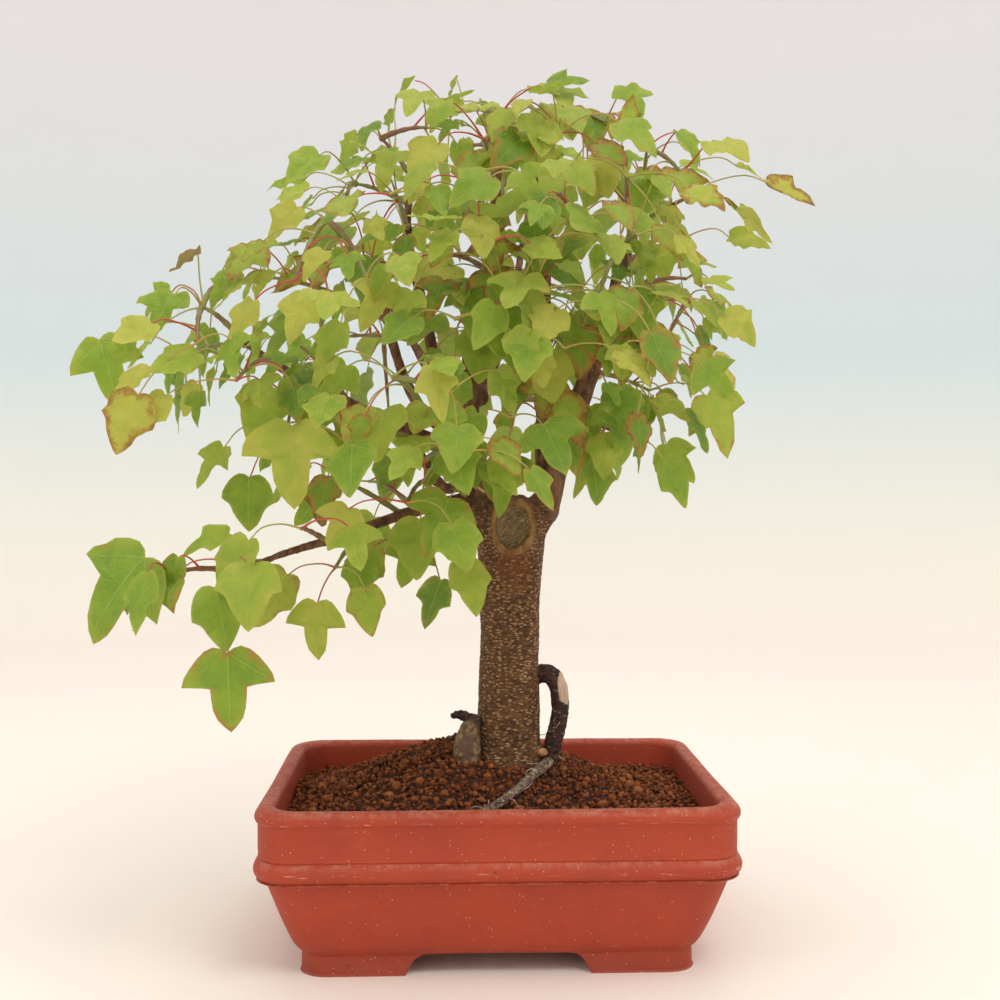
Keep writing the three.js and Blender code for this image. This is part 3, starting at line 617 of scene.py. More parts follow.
# ---- Finishes --------------------------------------------------------------------------------
def clay_finish():
    """Unglazed brick-red clay: pale grit, scuffs along the lip and band, dust on its ledges."""
    material, nodes, surface = new_material("brick_red_clay")
    place = nodes.object_place()
    height = nodes.split(place)["Z"]
    patches = nodes.use(BLOTCHES, Vector=place, Scale=34.0, Amount=0.5, Softness=0.3)["Mask"]
    body = nodes.blend(patches, (0.36, 0.036, 0.010, 1), (0.45, 0.052, 0.014, 1))
    wear = nodes.noise(nodes.stretch(place, (60, 60, 260)), 1.0, 6, 0.7)
    streaks = nodes.between(wear, 0.55, 0.75)
    body = nodes.blend(nodes.math("MULTIPLY", streaks, 0.35), body, (0.50, 0.105, 0.045, 1))
    upward = nodes.split(nodes.add("ShaderNodeNewGeometry").outputs["Normal"])["Z"]
    ledge = nodes.between(upward, 0.15, 0.95)
    dust = nodes.noise(place, 260.0, 5, 0.7)
    dust = nodes.math("MULTIPLY", nodes.between(dust, 0.35, 0.75), ledge)
    body = nodes.blend(nodes.math("MULTIPLY", dust, 0.6), body, (0.58, 0.27, 0.17, 1))
    foot_dirt = nodes.between(height, 0.018, 0.0)
    soiled = nodes.math("MULTIPLY", foot_dirt, nodes.noise(place, 120.0, 4))
    body = nodes.blend(nodes.math("MULTIPLY", soiled, 0.8), body, (0.20, 0.04, 0.02, 1))
    grit = nodes.use(SPECKS, Vector=place, Scale=640.0, Size=0.22, Amount=0.11)
    body = nodes.blend(nodes.math("MULTIPLY", grit["Mask"], 0.6), body, (0.72, 0.47, 0.34, 1))
    sand = nodes.use(SPECKS, Vector=place, Scale=1500.0, Size=0.3, Amount=0.10)
    body = nodes.blend(nodes.math("MULTIPLY", sand["Mask"], 0.35), body, (0.62, 0.30, 0.19, 1))
    scuffs = scuff_lines(nodes, place, height)
    body = nodes.blend(nodes.math("MULTIPLY", scuffs, 0.75), body, (0.78, 0.62, 0.50, 1))
    # Painted shade: the pits are coloured nearly black for the shade inside them, besides being sunk by the
    # bump.
    pits = nodes.use(SPECKS, Vector=place, Scale=150.0, Size=0.10, Amount=0.05)["Mask"]
    body = nodes.blend(nodes.math("MULTIPLY", pits, 0.75), body, (0.07, 0.02, 0.012, 1))
    nodes.set(surface.inputs["Base Color"], body)
    roughness = nodes.math("MULTIPLY_ADD", patches, 0.12, 0.56)
    nodes.set(surface.inputs["Roughness"], nodes.math("MULTIPLY_ADD", scuffs, 0.2, roughness))
    grain = nodes.use(GRAIN, Vector=place, Scale=2200.0, Coarse=0.35)["Height"]
    grain = nodes.math("MULTIPLY_ADD", pits, -1.5, grain)
    nodes.set(surface.inputs["Normal"], nodes.bump(grain, 0.35, 0.3))
    return material


def scuff_lines(nodes, place, height):
    """Broken pale scratches where the lip and the band stand out from the wall."""
    def line(level, reach):
        off = nodes.math("ABSOLUTE", nodes.math("SUBTRACT", height, level * MM))
        return nodes.between(off, reach * MM, 0.0)

    lines = nodes.math("MAXIMUM", line(POT_HEIGHT - 4.4, 1.3), line(BAND_TOP - 5.5, 1.1))
    broken = nodes.noise(nodes.stretch(place, (90, 90, 900)), 1.0, 6, 0.75)
    patchy = nodes.noise(place, 24.0, 2)
    broken = nodes.math("MULTIPLY", nodes.between(broken, 0.55, 0.66), nodes.between(patchy, 0.45, 0.6))
    return nodes.math("MULTIPLY", lines, broken)


def grain_finish():
    """Baked clay grains: each grain has a tone of its own, with patches and darker specks of dirt."""
    material, nodes, surface = new_material("baked_clay_grains")
    place = nodes.object_place()
    tone = nodes.attribute("tone")
    tones = nodes.add("ShaderNodeValToRGB", {0: tone})
    ramp = tones.color_ramp
    ramp.elements[0].color = (0.075, 0.019, 0.006, 1)
    ramp.elements[1].color = (0.42, 0.135, 0.042, 1)
    middle = ramp.elements.new(0.5)
    middle.color = (0.215, 0.060, 0.018, 1)
    patches = nodes.noise(place, 420.0, 4, 0.65)
    colour = nodes.blend(nodes.between(patches, 0.40, 0.70), tones.outputs[0], (0.23, 0.073, 0.023, 1))
    dirt = nodes.use(SPECKS, Vector=place, Scale=1300.0, Size=0.35, Amount=0.3)
    colour = nodes.blend(nodes.math("MULTIPLY", dirt["Mask"], 0.5), colour, (0.055, 0.014, 0.006, 1))
    nodes.set(surface.inputs["Base Color"], colour)
    surface.inputs["Roughness"].default_value = 0.9
    surface.inputs["Specular IOR Level"].default_value = 0.25
    grain = nodes.use(GRAIN, Vector=place, Scale=1600.0, Coarse=0.5)["Height"]
    nodes.set(surface.inputs["Normal"], nodes.bump(grain, 0.9, 0.6))
    return material


def bed_finish():
    """The fines between and under the grains: their damp colour, painted darker still for the shade they lie
    in.
    """
    material, nodes, surface = new_material("damp_fines_in_painted_shade")
    place = nodes.object_place()
    field = nodes.noise(place, 700.0, 5, 0.7)
    # Painted shade: the fines are darker than the darkest grain, for the shade between and under the grains
    # as well as their damp colour.
    colour = nodes.blend(nodes.between(field, 0.35, 0.7), (0.03, 0.010, 0.004, 1), (0.11, 0.034, 0.012, 1))
    nodes.set(surface.inputs["Base Color"], colour)
    surface.inputs["Roughness"].default_value = 0.95
    nodes.set(surface.inputs["Normal"], nodes.bump(field, 1.0, 1.2))
    return material


def bark_finish():
    """Dark bark with dense tan lenticels on the trunk, smoother brown bark on the limbs,
    grey open wood in the old cut and an orange-tan roll of callus round it."""
    material, nodes, surface = new_material("maple_bark")
    place = nodes.object_place()
    young = nodes.attribute("young")
    cut = nodes.attribute("cut")
    callus = nodes.attribute("callus")
    rust = nodes.attribute("rust")
    rough_dark = nodes.noise(nodes.stretch(place, (260, 260, 700)), 1.0, 5, 0.65)
    rough_mask = nodes.between(rough_dark, 0.35, 0.65)
    old = nodes.blend(rough_mask, (0.050, 0.022, 0.009, 1), (0.185, 0.082, 0.032, 1))
    side = nodes.noise(nodes.stretch(place, (45, 45, 20)), 1.0, 3)
    side_mask = nodes.math("MULTIPLY", nodes.between(side, 0.45, 0.7), 0.5)
    old = nodes.blend(side_mask, old, (0.15, 0.072, 0.030, 1))
    wide = nodes.stretch(place, (420, 420, 1050))
    small = nodes.stretch(place, (800, 800, 1700))
    lenticels = nodes.use(SPECKS, Vector=wide, Scale=1.0, Size=0.48, Amount=0.85)
    dots = nodes.use(SPECKS, Vector=small, Scale=1.0, Size=0.40, Amount=0.5)
    tan = nodes.blend(lenticels["Chance"], (0.36, 0.18, 0.070, 1), (0.66, 0.43, 0.22, 1))
    old = nodes.blend(nodes.math("MULTIPLY", dots["Mask"], 0.45), old, (0.26, 0.13, 0.055, 1))
    old = nodes.blend(nodes.math("MULTIPLY", lenticels["Mask"], 0.85), old, tan)
    bark_noise = nodes.noise(nodes.stretch(place, (300, 300, 90)), 1.0, 5, 0.6)
    limb_mask = nodes.between(bark_noise, 0.35, 0.7)
    limb = nodes.blend(limb_mask, (0.085, 0.038, 0.020, 1), (0.26, 0.125, 0.062, 1))
    flecks = nodes.use(SPECKS, Vector=place, Scale=700.0, Size=0.3, Amount=0.25)["Mask"]
    limb = nodes.blend(nodes.math("MULTIPLY", flecks, 0.6), limb, (0.42, 0.27, 0.14, 1))
    colour = nodes.blend(young, old, limb)
    rusty = nodes.math("MULTIPLY", rust, nodes.between(rough_dark, 0.3, 0.6))
    colour = nodes.blend(nodes.math("MULTIPLY", rusty, 0.8), colour, (0.20, 0.060, 0.018, 1))
    lips = nodes.blend(nodes.between(bark_noise, 0.3, 0.7), (0.20, 0.085, 0.032, 1), (0.46, 0.25, 0.095, 1))
    colour = nodes.blend(callus, colour, lips)
    cut_grain = cut_wood_grain(nodes, place)
    wood = nodes.blend(cut_grain, (0.10, 0.062, 0.032, 1), (0.52, 0.34, 0.18, 1))
    colour = nodes.blend(cut, colour, wood)
    nodes.set(surface.inputs["Base Color"], colour)
    surface.inputs["Roughness"].default_value = 0.82
    surface.inputs["Specular IOR Level"].default_value = 0.35
    relief = nodes.math("MULTIPLY_ADD", lenticels["Mask"], 0.8, rough_dark)
    relief = nodes.math("MULTIPLY_ADD", dots["Mask"], 0.3, relief)
    smooth_relief = nodes.math("MULTIPLY", bark_noise, 0.8)
    relief = nodes.add("ShaderNodeMix", {0: young, 2: relief, 3: smooth_relief}, data_type="FLOAT").outputs[0]
    relief = nodes.add("ShaderNodeMix", {0: cut, 2: relief, 3: cut_grain}, data_type="FLOAT").outputs[0]
    nodes.set(surface.inputs["Normal"], nodes.bump(relief, 0.85, 0.5))
    return material


def cut_wood_grain(nodes, place):
    """Swirled growth lines and cracks of the old cut, light where the wood stands up."""
    shift = nodes.add("ShaderNodeVectorMath", {0: place, 1: at(*SCAR)}, operation="SUBTRACT").outputs[0]
    turned = nodes.add("ShaderNodeMapping", {"Vector": shift, "Rotation": (0, 0.75, 0)}).outputs[0]
    waves = nodes.add("ShaderNodeTexWave", {
        "Vector": nodes.stretch(turned, (1.0, 1.0, 1.3)), "Scale": 130.0, "Distortion": 12.0,
        "Detail": 3.0, "Detail Scale": 1.4,
    }, wave_type="BANDS", bands_direction="Z").outputs["Fac"]
    fibres = nodes.noise(nodes.stretch(turned, (300, 300, 1300)), 1.0, 5, 0.7, 0.6)
    lifted = nodes.math("MULTIPLY_ADD", waves, 0.55, 0.35)
    return nodes.math("MULTIPLY", lifted, nodes.between(fibres, 0.25, 0.7))


def root_finish():
    """Old root bark, nearly black with brown scales, and a fresh peeled patch."""
    material, nodes, surface = new_material("old_root_bark")
    place = nodes.object_place()
    field = nodes.noise(nodes.stretch(place, (350, 350, 700)), 1.0, 6, 0.7)
    colour = nodes.blend(nodes.between(field, 0.38, 0.68), (0.018, 0.007, 0.005, 1), (0.105, 0.042, 0.026, 1))
    scales = nodes.use(SPECKS, Vector=nodes.stretch(place, (450, 450, 800)), Scale=1.0, Size=0.42, Amount=0.4)
    tan = nodes.blend(scales["Chance"], (0.15, 0.075, 0.04, 1), (0.42, 0.29, 0.17, 1))
    colour = nodes.blend(nodes.math("MULTIPLY", scales["Mask"], nodes.attribute("scaly")), colour, tan)
    grain = nodes.noise(nodes.stretch(place, (900, 900, 120)), 1.0, 4)
    peeled = nodes.blend(grain, (0.42, 0.24, 0.14, 1), (0.80, 0.62, 0.46, 1))
    ragged = nodes.math("ADD", nodes.attribute("peeled"), nodes.math("MULTIPLY_ADD", field, 0.9, -0.45))
    bare = nodes.between(ragged, 0.42, 0.55)
    colour = nodes.blend(bare, colour, peeled)
    nodes.set(surface.inputs["Base Color"], colour)
    surface.inputs["Roughness"].default_value = 0.78
    relief = nodes.math("MULTIPLY_ADD", scales["Mask"], 0.5, field)
    relief = nodes.math("MULTIPLY_ADD", bare, -0.8, relief)
    nodes.set(surface.inputs["Normal"], nodes.bump(relief, 0.9, 0.6))
    return material


def weathered_root_finish():
    """A root that lies in the open: grey and cream with dark creases."""
    material, nodes, surface = new_material("weathered_root")
    place = nodes.object_place()
    field = nodes.noise(place, 420.0, 6, 0.72, 0.5)
    wide = nodes.noise(place, 110.0, 3)
    colour = nodes.blend(nodes.between(field, 0.40, 0.62), (0.070, 0.036, 0.022, 1), (0.34, 0.24, 0.16, 1))
    brown = nodes.between(wide, 0.48, 0.60)
    colour = nodes.blend(nodes.math("MULTIPLY", brown, 0.75), colour, (0.17, 0.10, 0.06, 1))
    pale = nodes.use(BLOTCHES, Vector=place, Scale=260.0, Amount=0.22, Softness=0.05)["Mask"]
    colour = nodes.blend(nodes.math("MULTIPLY", pale, 0.8), colour, (0.68, 0.60, 0.44, 1))
    nodes.set(surface.inputs["Base Color"], colour)
    surface.inputs["Roughness"].default_value = 0.75
    nodes.set(surface.inputs["Normal"], nodes.bump(field, 1.0, 0.6))
    return material


def root_hair_finish():
    """Fine living rootlets, cream with brown stretches."""
    material, nodes, surface = new_material("fine_rootlets")
    field = nodes.noise(nodes.object_place(), 300.0, 3)
    colour = nodes.blend(nodes.between(field, 0.45, 0.65), (0.74, 0.66, 0.54, 1), (0.36, 0.20, 0.12, 1))
    nodes.set(surface.inputs["Base Color"], colour)
    surface.inputs["Roughness"].default_value = 0.6
    return material


def pebble_finish():
    """A smooth tan pebble with a mottled face."""
    material, nodes, surface = new_material("tan_pebble")
    place = nodes.object_place()
    field = nodes.noise(place, 600.0, 4)
    colour = nodes.blend(nodes.between(field, 0.35, 0.7), (0.36, 0.17, 0.05, 1), (0.66, 0.40, 0.16, 1))
    nodes.set(surface.inputs["Base Color"], colour)
    surface.inputs["Roughness"].default_value = 0.7
    nodes.set(surface.inputs["Normal"], nodes.bump(field, 0.5, 0.3))
    return material


def make_veins():
    """The vein net of a maple leaf on its plan: main veins, side veins and the fine net."""
    group, nodes, given, result = new_group(
        "leaf_veins", {"Plan": ("vector", None)}, {"Main": "float", "Side": "float", "Net": "float"},
    )
    plan = nodes.split(given["Plan"])
    across = nodes.math("ABSOLUTE", plan["X"])
    along = plan["Y"]
    middle = nodes.between(across, nodes.math("MULTIPLY_ADD", along, -0.010, 0.020), 0.004)
    lobe_off = nodes.math("ABSOLUTE", nodes.math("MULTIPLY_ADD", across, -0.62, along))
    lobe = nodes.between(lobe_off, nodes.math("MULTIPLY_ADD", across, -0.018, 0.018), 0.003)
    lobe = nodes.math("MULTIPLY", lobe, nodes.between(across, 0.60, 0.50))
    climb = nodes.math("MULTIPLY_ADD", across, -0.75, along)
    rows = nodes.math("FRACT", nodes.math("MULTIPLY_ADD", climb, 8.0, nodes.math("MULTIPLY", across, 1.3)))
    row_off = nodes.math("ABSOLUTE", nodes.math("SUBTRACT", rows, 0.5))
    side = nodes.between(row_off, 0.09, 0.02)
    side = nodes.math("MULTIPLY", side, nodes.between(across, 0.0, 0.06))
    net = nodes.add(
        "ShaderNodeTexVoronoi", {"Vector": given["Plan"], "Scale": 26.0}, feature="DISTANCE_TO_EDGE",
    )
    nodes.set(result.inputs["Main"], nodes.math("MAXIMUM", middle, lobe))
    nodes.set(result.inputs["Side"], side)
    nodes.set(result.inputs["Net"], nodes.between(net.outputs["Distance"], 0.10, 0.0))
    return group


VEINS = make_veins()


def leaf_finish():
    """A thin maple blade: green to yellow-green, pale below, veined, browned at its edges."""
    material, nodes, surface = new_material("maple_leaf")
    plan = nodes.add("ShaderNodeUVMap", uv_map="plan").outputs["UV"]
    centred = nodes.add("ShaderNodeMapping", {
        "Vector": plan,
        "Location": (-PLAN_SCALE[0] / 2, -PLAN_FOOT, 0),
        "Scale": (PLAN_SCALE[0], PLAN_SCALE[1], 1),
    }).outputs[0]
    tone, burn = nodes.attribute("tone"), nodes.attribute("burn")
    chance, edge = nodes.attribute("chance"), nodes.attribute("edge")
    across_shift = nodes.math("MULTIPLY", chance, 37.0)
    along_shift = nodes.math("MULTIPLY", chance, 71.0)
    shift = nodes.add("ShaderNodeCombineXYZ", {0: across_shift, 1: along_shift}).outputs[0]
    own = nodes.add("ShaderNodeVectorMath", {0: centred, 1: shift}, operation="ADD").outputs[0]
    veins = nodes.use(VEINS, Plan=centred)
    patches = nodes.noise(own, 3.2, 4, 0.6, 0.5)
    # The tone attribute carries painted light and shade from the leaf's place in the crown, as well as its
    # own random tone.
    shade = nodes.math("ADD", tone, nodes.math("MULTIPLY_ADD", patches, 0.7, -0.35))
    greens = nodes.add("ShaderNodeValToRGB", {0: shade})
    ramp = greens.color_ramp
    ramp.elements[0].color = (0.060, 0.165, 0.016, 1)
    ramp.elements[0].position = 0.0
    ramp.elements[1].color = (0.60, 0.57, 0.095, 1)
    for stop, colour in LEAF_GREENS:
        ramp.elements.new(stop).color = colour
    blade = nodes.blend(nodes.math("MULTIPLY", veins["Net"], 0.22), greens.outputs[0], (0.42, 0.50, 0.11, 1))
    blade = nodes.blend(nodes.math("MULTIPLY", veins["Side"], 0.18), blade, (0.44, 0.52, 0.12, 1))
    blade = nodes.blend(nodes.math("MULTIPLY", veins["Main"], 0.42), blade, (0.52, 0.56, 0.16, 1))
    yellow = nodes.between(nodes.math("ADD", edge, nodes.math("MULTIPLY", patches, 0.6)), 0.95, 1.55)
    blade = nodes.blend(nodes.math("MULTIPLY", yellow, 0.55), blade, (0.58, 0.52, 0.085, 1))
    ragged = nodes.noise(own, 5.5, 5, 0.65)
    burnt = nodes.math("ADD", nodes.math("MULTIPLY", edge, 0.62), nodes.math("MULTIPLY", ragged, 0.9))
    burnt = nodes.math("ADD", burnt, nodes.math("MULTIPLY_ADD", burn, 0.6, -0.56))
    blade = nodes.blend(nodes.between(burnt, 0.80, 0.98), blade, (0.46, 0.22, 0.045, 1))
    blade = nodes.blend(nodes.between(burnt, 0.98, 1.12), blade, (0.20, 0.065, 0.030, 1))
    bronze = nodes.attribute("bronze")
    blade = nodes.blend(bronze, blade, nodes.blend(patches, (0.16, 0.055, 0.030, 1), (0.36, 0.17, 0.085, 1)))
    specks = nodes.use(SPECKS, Vector=own, Scale=16.0, Size=0.20, Amount=0.10)["Mask"]
    marks = nodes.math("MULTIPLY", specks, nodes.between(burn, 0.3, 0.7))
    blade = nodes.blend(nodes.math("MULTIPLY", marks, 0.8), blade, (0.19, 0.085, 0.03, 1))
    behind = nodes.add("ShaderNodeNewGeometry").outputs["Backfacing"]
    under = nodes.blend(0.42, blade, (0.42, 0.50, 0.20, 1))
    colour = nodes.blend(behind, blade, under)
    nodes.set(surface.inputs["Base Color"], colour)
    surface.inputs["Roughness"].default_value = 0.46
    surface.inputs["Specular IOR Level"].default_value = 0.4
    raised = nodes.math("MULTIPLY_ADD", veins["Side"], -0.35, nodes.math("MULTIPLY", veins["Main"], -0.8))
    crinkle = nodes.math("MULTIPLY", nodes.noise(own, 7.0, 3), 1.2)
    raised = nodes.math("ADD", raised, nodes.math("MULTIPLY_ADD", veins["Net"], -0.2, crinkle))
    bump = nodes.bump(raised, 0.6, 0.45)
    nodes.set(surface.inputs["Normal"], bump)
    glow = nodes.add("ShaderNodeBsdfTranslucent", {"Normal": bump})
    nodes.set(glow.inputs["Color"], nodes.blend(0.5, blade, (0.50, 0.62, 0.06, 1)))
    both = nodes.add("ShaderNodeMixShader", {0: 0.38, 1: surface.outputs[0], 2: glow.outputs[0]})
    nodes.set(material.node_tree.nodes["Material Output"].inputs["Surface"], both.outputs[0])
    return material


def stem_finish(name, greenish, reddish, share):
    """Skin of the shoots and leaf stalks, from greenish to reddish in stretches."""
    material, nodes, surface = new_material(name)
    place = nodes.object_place()
    field = nodes.noise(place, 38.0, 2)
    colour = nodes.blend(nodes.between(field, share - 0.08, share + 0.08), greenish, reddish)
    fine = nodes.noise(place, 900.0, 3)
    colour = nodes.blend(nodes.math("MULTIPLY", fine, 0.35), colour, (0.24, 0.15, 0.05, 1))
    nodes.set(surface.inputs["Base Color"], colour)
    surface.inputs["Roughness"].default_value = 0.5
    nodes.set(surface.inputs["Normal"], nodes.bump(fine, 0.3, 0.15))
    return material


def plastic_finish():
    """Black moulded mesh, dusted with clay."""
    material, nodes, surface = new_material("black_mesh_plastic")
    place = nodes.object_place()
    dust = nodes.use(BLOTCHES, Vector=place, Scale=300.0, Amount=0.3, Softness=0.1)["Mask"]
    colour = nodes.blend(nodes.math("MULTIPLY", dust, 0.6), (0.012, 0.014, 0.012, 1), (0.16, 0.06, 0.03, 1))
    nodes.set(surface.inputs["Base Color"], colour)
    nodes.set(surface.inputs["Roughness"], nodes.math("MULTIPLY_ADD", dust, 0.3, 0.45))
    return material


def wire_finish():
    """Soft aluminium wire with drawn scratches and dull patches."""
    material, nodes, surface = new_material("aluminium_wire")
    place = nodes.object_place()
    dull = nodes.noise(place, 500.0, 4)
    colour = nodes.blend(dull, (0.42, 0.42, 0.43, 1), (0.62, 0.63, 0.66, 1))
    nodes.set(surface.inputs["Base Color"], colour)
    surface.inputs["Metallic"].default_value = 1.0
    nodes.set(surface.inputs["Roughness"], nodes.math("MULTIPLY_ADD", dull, 0.35, 0.2))
    return material

# ---- Pot -------------------------------------------------------------------------------------
def rounded_plate(name, inset, height, radius):
    """A flat rounded rectangle with the pot's plan, drawn in by an inset, left in edit mode."""
    bpy.ops.object.select_all(action="DESELECT")
    bpy.ops.mesh.primitive_plane_add(size=1, location=at(0, 0, height))
    piece = start_piece(name)
    piece.scale = ((POT_LENGTH - 2 * inset) * MM, (POT_WIDTH - 2 * inset) * MM, 1)
    apply_place(piece)
    start_edit(piece)
    bpy.ops.mesh.select_all(action="SELECT")
    bpy.ops.mesh.bevel(offset=radius * MM, segments=9, affect="VERTICES")
    bpy.ops.mesh.select_mode(type="EDGE")
    select_edges(piece, lambda a, b: (a - b).length > 20 * MM)
    bpy.ops.mesh.subdivide(number_cuts=9)
    bpy.ops.mesh.select_mode(type="FACE")
    bpy.ops.mesh.select_all(action="SELECT")
    return piece


def plan_row(inset, height):
    return POT_LENGTH / 2 - inset, POT_WIDTH / 2 - inset, 0, height


def arc_rows(centre_inset, centre_height, radius, start, end, steps):
    """Rows round part of a circle in the wall's section; angles in degrees from outwards."""
    turns = [math.radians(mix(start, end, step / steps)) for step in range(steps + 1)]
    return [
        (centre_inset - radius * math.cos(turn), centre_height + radius * math.sin(turn))
        for turn in turns
    ]


def pot_section():
    """The wall's section as (inset, height): up the outside, over the lip and down the inside."""
    wall = []
    for step in range(13):
        share = step / 12
        wall.append((mix(FOOT_INSET - 1.7, 3.5, share ** 0.8), mix(FOOT_HEIGHT + 1.3, BAND_BOTTOM, share)))
    foot = [(FOOT_INSET - 0.6, 0), (FOOT_INSET, 0.8), (FOOT_INSET, FOOT_HEIGHT - 0.6),
            (FOOT_INSET - 0.7, FOOT_HEIGHT + 0.4)]
    lower_edge = [(1.3, BAND_BOTTOM + 0.1), (0.3, BAND_BOTTOM + 0.7)]
    band = arc_rows(4.2, BAND_BOTTOM + 5.2, 5, -54, 54, 8)
    neck = [(0.9, BAND_TOP - 0.5), (1.1, BAND_TOP + 0.4), (1, BAND_TOP + 3), (1, POT_HEIGHT - 6.5)]
    lip = arc_rows(3.4, POT_HEIGHT - 3.6, 3.6, -38, 78, 9)
    top = [(4.2, POT_HEIGHT), (5.2, POT_HEIGHT - 0.1)]
    inner_lip = [(6.4, POT_HEIGHT - 0.6), (7.2, POT_HEIGHT - 1.5), (RIM_WALL, POT_HEIGHT - 2.8)]
    inside = [(7.7, 64), (8.2, 58), (9, 52), (10.8, BAND_BOTTOM), (13.6, 33), (16.6, 25), (20.5, 19),
              (FLOOR_INSET, FLOOR_TOP)]
    return foot + wall + lower_edge + band + neck + lip + top + inner_lip + inside


def foot_gap(half_width, reach, turned):
    """The opening between two feet: wider at the ground, with rounded upper corners."""
    bpy.ops.object.select_all(action="DESELECT")
    bpy.ops.mesh.primitive_cube_add(size=1, location=at(0, 0, FOOT_HEIGHT / 2 - 1))
    cutter = start_piece("gap_cutter")
    size = Vector((half_width * 2, reach, FOOT_HEIGHT + 2)) * MM
    cutter.scale = size
    apply_place(cutter)
    start_edit(cutter, "FACE")
    select_faces(cutter, lambda centre, normal: normal.z < -0.9)
    splay = (half_width + FOOT_GAP_SPLAY) / half_width
    bpy.ops.transform.resize(value=(splay, 1, 1), center_override=at(0, 0, 0))
    bpy.ops.mesh.select_mode(type="EDGE")
    top = FOOT_HEIGHT * MM
    side = half_width * 0.9 * MM
    centre = POT_CENTRE.x
    select_edges(cutter, lambda a, b: min(a.z, b.z) > top * 0.9 and abs(a.x - centre) > side
                 and abs(a.x - b.x) < MM)
    bpy.ops.mesh.bevel(offset=4.5 * MM, segments=6)
    end_edit()
    if turned:
        cutter.matrix_world = (
            Matrix.Translation(POT_CENTRE) @ Matrix.Rotation(math.pi / 2, 4, "Z")
            @ Matrix.Translation(-POT_CENTRE)
        )
        apply_place(cutter)
    return cutter


def make_pot():
    section = pot_section()
    inset, height = section[0]
    piece = rounded_plate("clay_pot", inset, height, CORNER_RADIUS - inset * 0.5)
    raise_rows([plan_row(*row) for row in section])
    select_faces(piece, lambda centre, normal: normal.z < -0.9 and centre.z < 0.1 * MM)
    bpy.ops.mesh.inset(thickness=FOOT_WALL * MM)
    bpy.ops.mesh.extrude_region_move(TRANSFORM_OT_translate={"value": (0, 0, FOOT_HEIGHT * MM)})
    bpy.ops.mesh.select_all(action="SELECT")
    bpy.ops.mesh.normals_make_consistent(inside=False)
    end_edit()
    cut_away(piece, foot_gap(FOOT_GAP_HALF, POT_WIDTH, False))
    cut_away(piece, foot_gap(SIDE_GAP_HALF, POT_LENGTH, True))
    for side in (-1, 1):
        bpy.ops.mesh.primitive_cylinder_add(
            vertices=40, radius=DRAIN_DIAMETER / 2 * MM, depth=20 * MM,
            location=at(side * DRAIN_SPACING / 2, 0, (FOOT_HEIGHT + FLOOR_TOP) / 2),
        )
        cut_away(piece, start_piece("drain_cutter"))
    soften_pot(piece)
    return finish_piece(piece, "clay", ["pot"], clay_finish(), smooth=34)


def soften_pot(piece):
    """Pressed clay is never quite flat: the walls wander by a few tenths of a millimetre."""
    def moved(place, normal):
        if place.z < 0.3 * MM:
            return place
        wander = noise.noise(place * 22) * 0.35 + noise.noise(place * 90) * 0.10
        return place + normal * wander * MM
    move_points(piece, moved)


# ---- Soil ------------------------------------------------------------------------------------
def make_soil_bed():
    """The bed under the loose grains: a lumpy mound over a body that fills the pot."""
    bpy.ops.object.select_all(action="DESELECT")
    bpy.ops.mesh.primitive_grid_add(x_subdivisions=96, y_subdivisions=72, size=2, location=(0, 0, 0))
    piece = start_piece("soil_bed")
    half_x, half_y = POT_LENGTH / 2 - 8.2, POT_WIDTH / 2 - 8.2
    power = 8

    def laid(place, normal):
        reach = max(abs(place.x), abs(place.y))
        size = (abs(place.x) ** power + abs(place.y) ** power) ** (1 / power)
        pull = reach / size if size > 0 else 1
        x, y = place.x * pull * half_x, place.y * pull * half_y
        lumps = noise.noise(Vector((x, y, 0)) * 0.28) * 1.3 + noise.noise(Vector((x, y, 9)) * 0.09) * 1.6
        return at(x, y, soil_height(x, y) - 2.2 + lumps)

    move_points(piece, laid)
    start_edit(piece, "EDGE")
    bpy.ops.mesh.select_all(action="SELECT")
    bpy.ops.mesh.region_to_loop()
    walls = [(8.2, 60), (9.4, 52), (11.2, BAND_BOTTOM), (17.2, 25), (FLOOR_INSET + 0.5, FLOOR_TOP + 1.5)]
    for (inset, height), (next_inset, next_height) in zip(walls, walls[1:]):
        bpy.ops.mesh.extrude_region_move(
            TRANSFORM_OT_translate={"value": (0, 0, (next_height - height) * MM)},
        )
        bpy.ops.transform.resize(
            value=((POT_LENGTH / 2 - next_inset) / (POT_LENGTH / 2 - inset),
                   (POT_WIDTH / 2 - next_inset) / (POT_WIDTH / 2 - inset), 1),
            center_override=at(0, 0, next_height),
        )
    bpy.ops.transform.resize(value=(1, 1, 0), center_override=at(0, 0, FLOOR_TOP + 3.2))
    bpy.ops.mesh.edge_face_add()
    bpy.ops.mesh.select_all(action="SELECT")
    bpy.ops.mesh.normals_make_consistent(inside=False)
    end_edit()
    return finish_piece(piece, "soil", ["soil"], bed_finish())


def grain_template(seed):
    """One baked clay grain, about 1 mm in radius, with a few dozen faces."""
    bpy.ops.object.select_all(action="DESELECT")
    bpy.ops.mesh.primitive_cube_add(size=1.2)
    piece = start_piece("grain")
    start_edit(piece, "FACE")
    bpy.ops.mesh.select_all(action="SELECT")
    bpy.ops.mesh.subdivide(number_cuts=1)
    bpy.ops.transform.tosphere(value=0.75)
    end_edit()
    rng = random.Random(seed)
    squash = Vector((rng.uniform(0.85, 1.2), rng.uniform(0.8, 1.1), rng.uniform(0.7, 0.95)))

    def dented(place, normal):
        dent = 1 + 0.30 * noise.noise(place * 1.6 + Vector((seed * 9.1, 0, 0)))
        return Vector((place.x * squash.x, place.y * squash.y, place.z * squash.z)) * dent

    move_points(piece, dented)
    corners = np.array([vertex.co[:] for vertex in piece.data.vertices])
    faces = np.array([polygon.vertices[:] for polygon in piece.data.polygons])
    bpy.data.objects.remove(piece)
    return corners, faces


